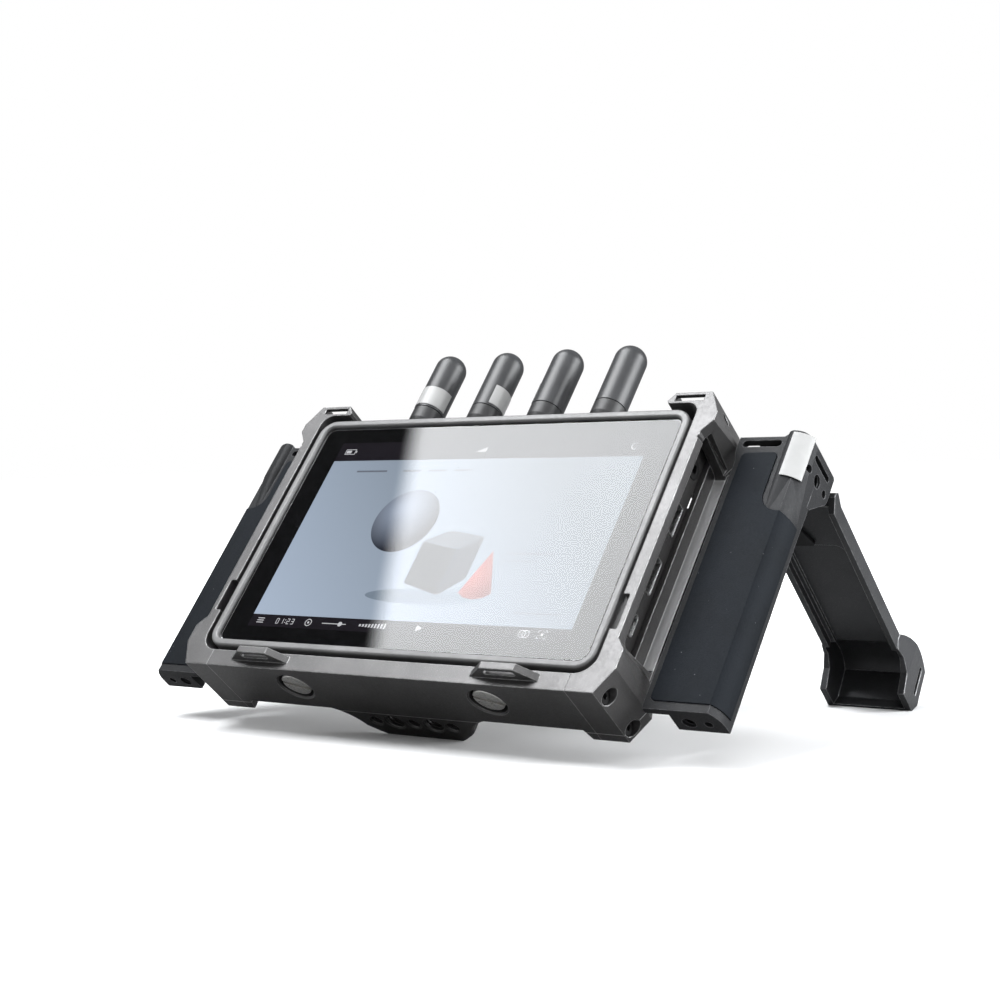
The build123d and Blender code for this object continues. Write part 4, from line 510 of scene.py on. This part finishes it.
class MONITOR_OT_stage(Operator):
    """Pale floor, soft studio light and the photo camera"""

    bl_idname = "monitor.stage"
    bl_label = "Studio"

    def execute(self, context):
        sizes = context.scene.monitor_sizes
        context.scene.view_settings.view_transform = "Standard"
        self.add_floor(context)
        self.add_surround(context, sizes.sky_strength, sizes.dim_strength)
        self.add_lamps(context, sizes)
        self.add_camera(context, sizes.camera_lens)
        return {"FINISHED"}

    def add_floor(self, context):
        """White floor that takes the shadow near the monitor and fades into the surround farther out."""
        reach = 6.0
        shape = bmesh.new()
        bmesh.ops.create_grid(shape, x_segments=1, y_segments=1, size=1.0, matrix=Matrix.Scale(reach, 4))
        mesh = bpy.data.meshes.new("studio_floor")
        shape.to_mesh(mesh)
        shape.free()
        floor = bpy.data.objects.new("studio_floor", mesh)
        context.scene.collection.objects.link(floor)

        # it throws back less light than it shows, so the metal over it stays dark
        shown, thrown_back = (0.90, 0.90, 0.90), (0.26, 0.26, 0.26)
        glow_near, glow_far = (0.02, 0.02, 0.02), (1, 1, 1)
        fade_start, fade_end = 0.20, 0.60
        finish, shader = new_finish("white studio floor", shown, 0.75, specular=0.15)
        seen = direct_view(finish)
        place = add_node(finish, "ShaderNodeTexCoord")
        away = add_node(finish, "ShaderNodeVectorMath", operation="LENGTH")
        feed(finish, away.inputs[0], place.outputs["Object"])
        fade = spread(finish, away.outputs["Value"], fade_start, fade_end, 0.0, 1.0)
        glow = blend_colour(finish, fade, glow_near, glow_far)
        feed(finish, shader.inputs["Base Color"], blend_colour(finish, seen, thrown_back, shown))
        feed(finish, shader.inputs["Emission Color"], blend_colour(finish, seen, (0, 0, 0), glow))
        shader.inputs["Emission Strength"].default_value = 1.0
        mesh.materials.append(finish)

    def add_surround(self, context, plain_light, dim_light):
        """White world: plain where it is seen, and dim beside the softbox, where the glass mirrors it."""
        mirrored_way = (-0.640, -0.158, 0.752)
        world = bpy.data.worlds.new("white surround")
        context.scene.world = world
        world.use_nodes = True
        background = world.node_tree.nodes["Background"]
        background.inputs["Color"].default_value = (1, 1, 1, 1)
        towards = add_node(world, "ShaderNodeTexCoord")
        aim = add_node(world, "ShaderNodeVectorMath", operation="DOT_PRODUCT")
        aim.inputs[1].default_value = mirrored_way
        feed(world, aim.inputs[0], towards.outputs["Generated"])
        lighting = spread(world, aim.outputs["Value"], 0.86, 0.96, plain_light, dim_light, smooth=True)
        strength = spread(world, direct_view(world), 0.0, 1.0, lighting, 1.0)
        feed(world, background.inputs["Strength"], strength)

    def add_lamps(self, context, sizes):
        """One softbox that the glass mirrors, one over the camera and one to the right."""
        # the first one's long edge, mirrored, crosses the left third of the screen
        outward = Vector((-0.6056, -0.1678, 0.7779))
        up_edge = Vector((0.1310, 0.9432, 0.3054))
        across = up_edge.cross(outward)
        wide, tall = 1.05, 1.15
        low_left = Vector((-0.8841, -0.1490, 1.1640)) - 0.62 * up_edge
        middle = low_left + across * wide / 2 + up_edge * tall / 2
        axes = (across, up_edge, outward)
        self.add_softbox(context, "softbox", middle, axes, wide, tall, sizes.lamp_strength, 0.03)

        # the right one lights the cage's side and the leg
        distance, side, soft_edge = 1.5, 1.0, 0.07
        for name, way, strength in (("front_softbox", (0.42, -0.50, 0.75), sizes.front_strength),
                                    ("right_softbox", (0.88, 0.26, 0.38), sizes.right_strength)):
            outward = Vector(way).normalized()
            across = Vector((0, 0, 1)).cross(outward).normalized()
            axes = (across, outward.cross(across), outward)
            self.add_softbox(context, name, outward * distance, axes, side, side, strength, soft_edge)

    def add_softbox(self, context, name, middle, axes, wide, tall, strength, soft_edge):
        """Rectangular lamp that shines along the last of its axes turned round, with one softened edge."""
        data = bpy.data.lights.new(name, "AREA")
        data.shape = "RECTANGLE"
        data.size = wide
        data.size_y = tall
        data.energy = strength * math.pi * wide * tall
        data.color = (0.965, 0.982, 1.0)
        data.use_nodes = True
        place = add_node(data, "ShaderNodeNewGeometry")
        sideways = part_of(data, place.outputs["Parametric"], "X")
        feather = spread(data, sideways, 0.0, soft_edge, 0.0, 1.0, smooth=True)
        feed(data, data.node_tree.nodes["Emission"].inputs["Strength"], feather)
        lamp = bpy.data.objects.new(name, data)
        context.scene.collection.objects.link(lamp)
        lamp.matrix_world = Matrix.Translation(middle) @ Matrix(axes).transposed().to_4x4()

    def add_camera(self, context, lens):
        """The photo's camera, worked out from the picture's, the rim's and the cage's corners."""
        data = bpy.data.cameras.new("photo_camera")
        data.lens = lens
        data.sensor_width = 36.0
        data.clip_start = 0.01
        camera = bpy.data.objects.new("photo_camera", data)
        context.scene.collection.objects.link(camera)
        camera.location = (0.4063, -0.5814, 0.1106)
        camera.rotation_euler = Euler([math.radians(turn) for turn in (88.1668, 1.3486, 35.2891)], "XYZ")
        context.scene.camera = camera


class MONITOR_OT_cage(Operator):
    """Finish of the cage, its bar, brackets, screws and pins"""

    bl_idname = "monitor.cage"
    bl_label = "Cage"

    def execute(self, context):
        # the lip's front strip at this depth gets a painted highlight
        lip_depth = 25.2
        cage = blasted_metal("grey anodised metal", tuple(context.scene.monitor_sizes.cage_colour),
                             (0.66, 0.66, 0.66), 0.40, 0.75, 0.6, highlight_depth=lip_depth)
        dress(cage, "cage_side_left", "cage_side_right", "bottom_bar")
        bracket = blasted_metal("black anodised metal", (0.008, 0.008, 0.0085), (0.04, 0.04, 0.04),
                                0.5, 0.5, 0.3)
        dress(bracket, "bracket_left", "bracket_right")
        coin = brushed_metal("brushed steel", (0.82, 0.81, 0.78), 0.30)
        dress(coin, "coin_screws", "hinge_pin_left", "hinge_pin_right")
        black = moulded_plastic("blackened screw steel", (0.012, 0.012, 0.012), 0.35, 4.0, 0.1, 0.12)
        dress(black, "corner_screws", "bracket_screws", "handle_screws", "housing_screws")
        return {"FINISHED"}


class MONITOR_OT_handles(Operator):
    """Finish of the handles, legs, grips and pads"""

    bl_idname = "monitor.handles"
    bl_label = "Handles and legs"

    def execute(self, context):
        sizes = context.scene.monitor_sizes
        colour = tuple(sizes.handle_colour)
        metal = blasted_metal("dark anodised metal", colour, (0.30, 0.30, 0.31), 0.50, 0.12, 0.6,
                              specular=0.10)
        dress(metal, "handle_left", "handle_right")
        # painted light: the legs get a lighter copy of the handles' metal, standing in for the light they
        # catch
        painted_lit_leg_metal = blasted_metal("handle metal painted lighter for the legs", tinted(colour, 2.3), (0.55, 0.55, 0.56),
                                  0.34, 0.6, 0.7)
        dress(painted_lit_leg_metal, "leg_left", "leg_right")
        rubber = specked_rubber("blue black rubber", tuple(sizes.rubber_colour), (0.20, 0.205, 0.22))
        dress(rubber, "grip_left", "grip_right")
        # the pads are near black, partly as rubber and partly as painted shade of the gap under the hinge
        pad = moulded_plastic("black pad rubber with painted shade", (0.004, 0.004, 0.005), 0.6, 3.5, 0.15)
        dress(pad, "leg_pad_left", "leg_pad_right")
        return {"FINISHED"}


class MONITOR_OT_aerials(Operator):
    """Finish of the aerials, their collars, the gold parts and the paper labels"""

    bl_idname = "monitor.aerials"
    bl_label = "Aerials and labels"

    def execute(self, context):
        sleeve = moulded_plastic("aerial sleeve plastic", (0.032, 0.033, 0.035), 0.36, 4.5, 0.3)
        dress(sleeve, "aerial_1", "aerial_2", "aerial_3", "aerial_4")
        collar = moulded_plastic("collar plastic", (0.016, 0.016, 0.017), 0.45, 4.5, 0.25)
        dress(collar, "aerial_collars")
        gold = brushed_metal("gold plate", (0.72, 0.52, 0.24), 0.28)
        dress(gold, "aerial_connectors", "battery_contacts", "base_bushes")
        paper = paper_label("white label paper", (0.40, 0.40, 0.395))
        dress(paper, "aerial_label_1", "aerial_label_2", "aerial_label_3", "grip_label")
        return {"FINISHED"}


class MONITOR_OT_body(Operator):
    """Finish of the monitor's frame, housing, sockets and inner parts"""

    bl_idname = "monitor.body"
    bl_label = "Monitor body"

    def execute(self, context):
        rim = blasted_metal("rim metal", (0.165, 0.164, 0.164), (0.50, 0.50, 0.50), 0.50, 0.45, 0.3)
        dress(rim, "front_frame")
        housing = moulded_plastic("housing plastic", (0.016, 0.0155, 0.015), 0.55, 4.0, 0.3)
        dress(housing, "rear_housing")
        steel = brushed_metal("socket steel", (0.80, 0.80, 0.80), 0.28)
        dress(steel, "usb_a_socket", "hdmi_socket", "usb_c_socket", "radio_shield")
        black = moulded_plastic("black plastic", (0.006, 0.006, 0.006), 0.4, 4.0, 0.15, 0.2)
        dress(black, "headphone_jack", "power_inlet", "power_button", "power_switch", "fan_frame",
              "fan_rotor", "battery_plate", "battery_latch")
        pale = brushed_metal("milled aluminium", (0.62, 0.62, 0.63), 0.35)
        dress(pale, "chassis_plate", "heat_sink", "backlight")
        dress(circuit_board("green circuit board", (0.012, 0.06, 0.03)), "main_board", "radio_board")
        dress(clear_glass("cover glass"), "cover_glass")
        dress(black_print("dark panel", (0.01, 0.01, 0.012)), "display_panel")
        return {"FINISHED"}


class MONITOR_OT_screen(Operator):
    """Black border, lit picture, bars and signs behind the glass"""

    bl_idname = "monitor.screen"
    bl_label = "Screen"

    def execute(self, context):
        sizes = context.scene.monitor_sizes
        wide, tall = sizes.picture_width, sizes.picture_height
        picture_top = tall / 2 - sizes.top_bar
        picture_foot = -tall / 2 + sizes.bottom_bar
        upper_row = (tall / 2 + picture_top) / 2
        lower_row = (picture_foot - tall / 2) / 2
        self.add_border()

        bars = bmesh.new()
        add_bar(bars, 0, upper_row, wide, tall / 2 - picture_top, picture_layer)
        add_bar(bars, 0, lower_row, wide, picture_foot + tall / 2, picture_layer)
        self.show("screen_bars", bars, lit_tone("bar tone", (0.010, 0.008, 0.011)))

        picture = bmesh.new()
        middle = (picture_top + picture_foot) / 2
        add_bar(picture, 0, middle, wide, picture_top - picture_foot, picture_layer)
        light = lit_screen("picture light", tuple(sizes.screen_low), tuple(sizes.screen_high))
        self.show("screen_picture", picture, light)

        self.add_still_life()
        self.add_rules()
        self.add_signs(upper_row, lower_row)
        return {"FINISHED"}

    def show(self, name, shape, finish):
        """Make a piece of the display out of a shape."""
        make_piece(name, shape, finish, "monitor")

    def add_border(self):
        """A black sheet with round corners over the whole back of the glass."""
        wide, tall, corner = 173.0, 108.8, 3.6
        sheet = bmesh.new()
        add_bar(sheet, 0, 0, wide, tall, border_layer, border_thickness)
        uprights = [edge for edge in sheet.edges if abs(edge.verts[0].co.y - edge.verts[1].co.y) > 0.01]
        bmesh.ops.bevel(sheet, geom=uprights, offset=corner, offset_type="OFFSET", segments=8, profile=0.5,
                        affect="EDGES", material=-1)
        self.show("screen_border", sheet, black_print("border ink", (0.0035, 0.0035, 0.004)))

    def add_still_life(self):
        """A ball, a block and a cone, with one soft shadow under them."""
        shadow = bmesh.new()
        add_disc(shadow, 3.0, -30.0, 27.0, motif_layer + layer_step, squash=0.13)
        self.show("picture_shadow", shadow, lit_tone("shadow tone", (0.20, 0.25, 0.31)))

        ball = bmesh.new()
        ball_x, ball_z, ball_radius = -22.0, 6.0, 15.5
        add_disc(ball, ball_x, ball_z, ball_radius, segments=64)
        ball_tone = lit_ball("ball tone", (ball_x, motif_layer, ball_z), ball_radius,
                             (0.010, 0.011, 0.020), (0.30, 0.35, 0.44))
        self.show("picture_ball", ball, ball_tone)

        for side, corners, tone in (
            ("front", [(-8.0, -4.0), (10.0, -7.5), (10.0, -29.0), (-8.0, -24.0)], (0.018, 0.020, 0.026)),
            ("side", [(10.2, -7.5), (20.0, -1.5), (20.0, -21.0), (10.2, -29.0)], (0.055, 0.060, 0.075)),
            ("top", [(-8.0, -3.8), (3.0, 1.4), (20.0, -1.3), (10.1, -7.3)], (0.13, 0.145, 0.17)),
        ):
            block = bmesh.new()
            add_outline(block, corners)
            self.show(f"picture_block_{side}", block, lit_tone(f"block {side} tone", tone))

        cone = bmesh.new()
        tip = (27.0, -8.0)
        foot = [(34.5, -27.5), (31.5, -29.6), (27.0, -30.4), (22.5, -29.6), (19.5, -27.5)]
        add_outline(cone, [tip, *foot], motif_layer - layer_step)
        cone_tone = lit_ball("cone tone", (26.0, motif_layer, -24.0), 14.0,
                             (0.12, 0.02, 0.018), (0.45, 0.12, 0.10))
        self.show("picture_cone", cone, cone_tone)

    def add_rules(self):
        """Plain rules where a page would have its words."""
        rules = bmesh.new()
        for x, z, length, height in ((-52, 31.5, 16, 0.9), (-31, 31.5, 9, 0.9), (-18, 31.5, 9, 0.9),
                                     (-5, 31.5, 9, 0.9), (56, 32.0, 18, 0.7), (44, -9.0, 22, 1.0),
                                     (41, -12.4, 16, 0.6), (58, -35.5, 20, 0.6)):
            add_bar(rules, x, z, length, height)
        self.show("picture_rules", rules, lit_tone("rule tone", (0.16, 0.18, 0.22)))

    def add_signs(self, upper, row):
        """Neutral signs in the two bars."""
        signs = bmesh.new()
        menu_x = -70.0
        for number in range(3):
            add_bar(signs, menu_x, row + 1.0 - number, 3.4, 0.4)

        counter_x, numeral, colon_gap = -61.0, 2.3, 0.9
        for number, digit in enumerate("0123"):
            shift = colon_gap if number > 1 else 0.0
            add_numeral(signs, digit, counter_x + number * numeral + shift, row, numeral)
        for dot in (-0.6, 0.6):
            add_bar(signs, -57.0, row + dot, 0.4, 0.4)

        record_x = -45.0
        add_ring(signs, record_x, row, 1.5, 0.35)
        add_bar(signs, record_x, row, 0.9, 0.9)

        slider_x, knob_x = -32.0, -29.0
        add_bar(signs, slider_x, row, 12.0, 0.35)
        add_disc(signs, knob_x, row, 1.05)

        steps_x, step = -19.0, 1.5
        for number in range(9):
            add_bar(signs, steps_x + number * step, row, 0.9, 1.0 + 0.18 * number)
        add_outline(signs, [(8.0, row - 1.4), (8.0, row + 1.4), (10.6, row)])

        focus_x = 64.0
        for corner_x in (-1, 1):
            for corner_z in (-1, 1):
                add_bar(signs, focus_x + corner_x * 1.45, row + corner_z * 1.7, 0.9, 0.3)
                add_bar(signs, focus_x + corner_x * 1.75, row + corner_z * 1.4, 0.3, 0.9)
        add_disc(signs, focus_x, row, 0.6)
        for ring_x in (55.5, 57.0):
            add_ring(signs, ring_x, row, 1.5, 0.3)

        # an open ring, a battery and signal steps in the upper bar
        add_ring(signs, 70.0, upper, 1.5, 0.3, start=60, sweep=240)
        battery_x = -69.0
        for edge in (1.25, -1.25):
            add_bar(signs, battery_x, upper + edge, 5.4, 0.3)
        for edge in (-2.6, 2.6):
            add_bar(signs, battery_x + edge, upper, 0.3, 2.8)
        add_bar(signs, battery_x + 3.2, upper, 0.5, 1.2)
        add_bar(signs, battery_x - 0.8, upper, 2.6, 1.5)
        signal_x = -2.0
        for number in range(4):
            add_bar(signs, signal_x + number * 1.1, upper - 1.0 + number * 0.25, 0.6, 0.8 + number * 0.5)
        self.show("screen_signs", signs, lit_tone("sign tone", (0.62, 0.62, 0.64)))


class MONITOR_OT_threads(Operator):
    """Screw threads in the tab's holes and in the handles"""

    bl_idname = "monitor.threads"
    bl_label = "Threads"

    def execute(self, context):
        tab_turns, end_turns, side_turns = context.scene.monitor_sizes.thread_turns, 5, 4
        small, large = 2.6, 4.0

        tab = bmesh.new()
        tab_depth, tab_foot = 30.8, -66.6
        for x, radius in ((-18.2, small), (-9.2, large), (0.0, small), (9.2, large), (18.2, small)):
            self.cut_thread(tab, Matrix.Translation((x, tab_depth, tab_foot)), radius, tab_turns)
        dark = blasted_metal("thread metal", (0.05, 0.048, 0.046), (0.2, 0.2, 0.2), 0.35, 0.7, 0.1)
        make_piece("tab_threads", tab, dark, "monitor", smooth=True)

        handles = bmesh.new()
        for side in (-1, 1):
            lower_end = Matrix.Translation((side * 118.9, 23.6, -61.0))
            self.cut_thread(handles, lower_end, small, end_turns)
            inwards = Matrix.Rotation(math.radians(-90 * side), 4, "Y")
            outer_side = Matrix.Translation((side * 132.6, 27.3, 46.0)) @ inwards
            self.cut_thread(handles, outer_side, small, side_turns)
        bmesh.ops.recalc_face_normals(handles, faces=handles.faces)
        handle_dark = blasted_metal("handle thread metal", (0.03, 0.03, 0.032), (0.12, 0.12, 0.12),
                                    0.35, 0.7, 0.1)
        make_piece("handle_threads", handles, handle_dark, "monitor", smooth=True)
        return {"FINISHED"}

    def cut_thread(self, shape, place, radius, turns):
        """Helical ridge that stands a little into a hole, from its mouth inwards."""
        pitch, height, root, steps_per_turn = 1.2, 0.42, 0.02, 24
        known = set(shape.verts)
        ridge = [(radius - root, 0, 0), (radius - height, 0, 0.36 * pitch),
                 (radius - height, 0, 0.5 * pitch), (radius - root, 0, 0.86 * pitch)]
        first = shape.faces.new([shape.verts.new(corner) for corner in ridge])
        bmesh.ops.spin(shape, geom=[first, *first.edges, *first.verts], cent=(0, 0, 0), axis=(0, 0, 1),
                       dvec=(0, 0, pitch / steps_per_turn), angle=math.radians(360 * turns),
                       steps=steps_per_turn * turns, use_merge=False, use_duplicate=False)
        bmesh.ops.transform(shape, matrix=place, verts=[vert for vert in shape.verts if vert not in known])


class MONITOR_PT_sidebar(Panel):
    """Lists the sizes and the steps that make the pieces"""

    bl_label = "Cage Monitor"
    bl_idname = "MONITOR_PT_sidebar"
    bl_space_type = "VIEW_3D"
    bl_region_type = "UI"
    bl_category = "Monitor"

    def draw(self, context):
        sizes = context.scene.monitor_sizes
        for field in sizes.bl_rna.properties:
            if not field.is_readonly and field.identifier != "name":
                self.layout.prop(sizes, field.identifier)
        for step in steps:
            self.layout.operator(step.bl_idname)


steps = (MONITOR_OT_stage, MONITOR_OT_cage, MONITOR_OT_handles, MONITOR_OT_aerials, MONITOR_OT_body,
         MONITOR_OT_screen, MONITOR_OT_threads)
parts = (MonitorSizes, *steps, MONITOR_PT_sidebar)


def register():
    """Make the operators, sizes and panel known to Blender."""
    for part in parts:
        bpy.utils.register_class(part)
    bpy.types.Scene.monitor_sizes = PointerProperty(type=MonitorSizes)


def unregister():
    """Take them away again."""
    del bpy.types.Scene.monitor_sizes
    for part in reversed(parts):
        bpy.utils.unregister_class(part)


def main():
    """Make every piece."""
    register()
    bpy.ops.monitor.stage()
    bpy.ops.monitor.cage()
    bpy.ops.monitor.handles()
    bpy.ops.monitor.aerials()
    bpy.ops.monitor.body()
    bpy.ops.monitor.screen()
    bpy.ops.monitor.threads()


if __name__ == "__main__":
    main()
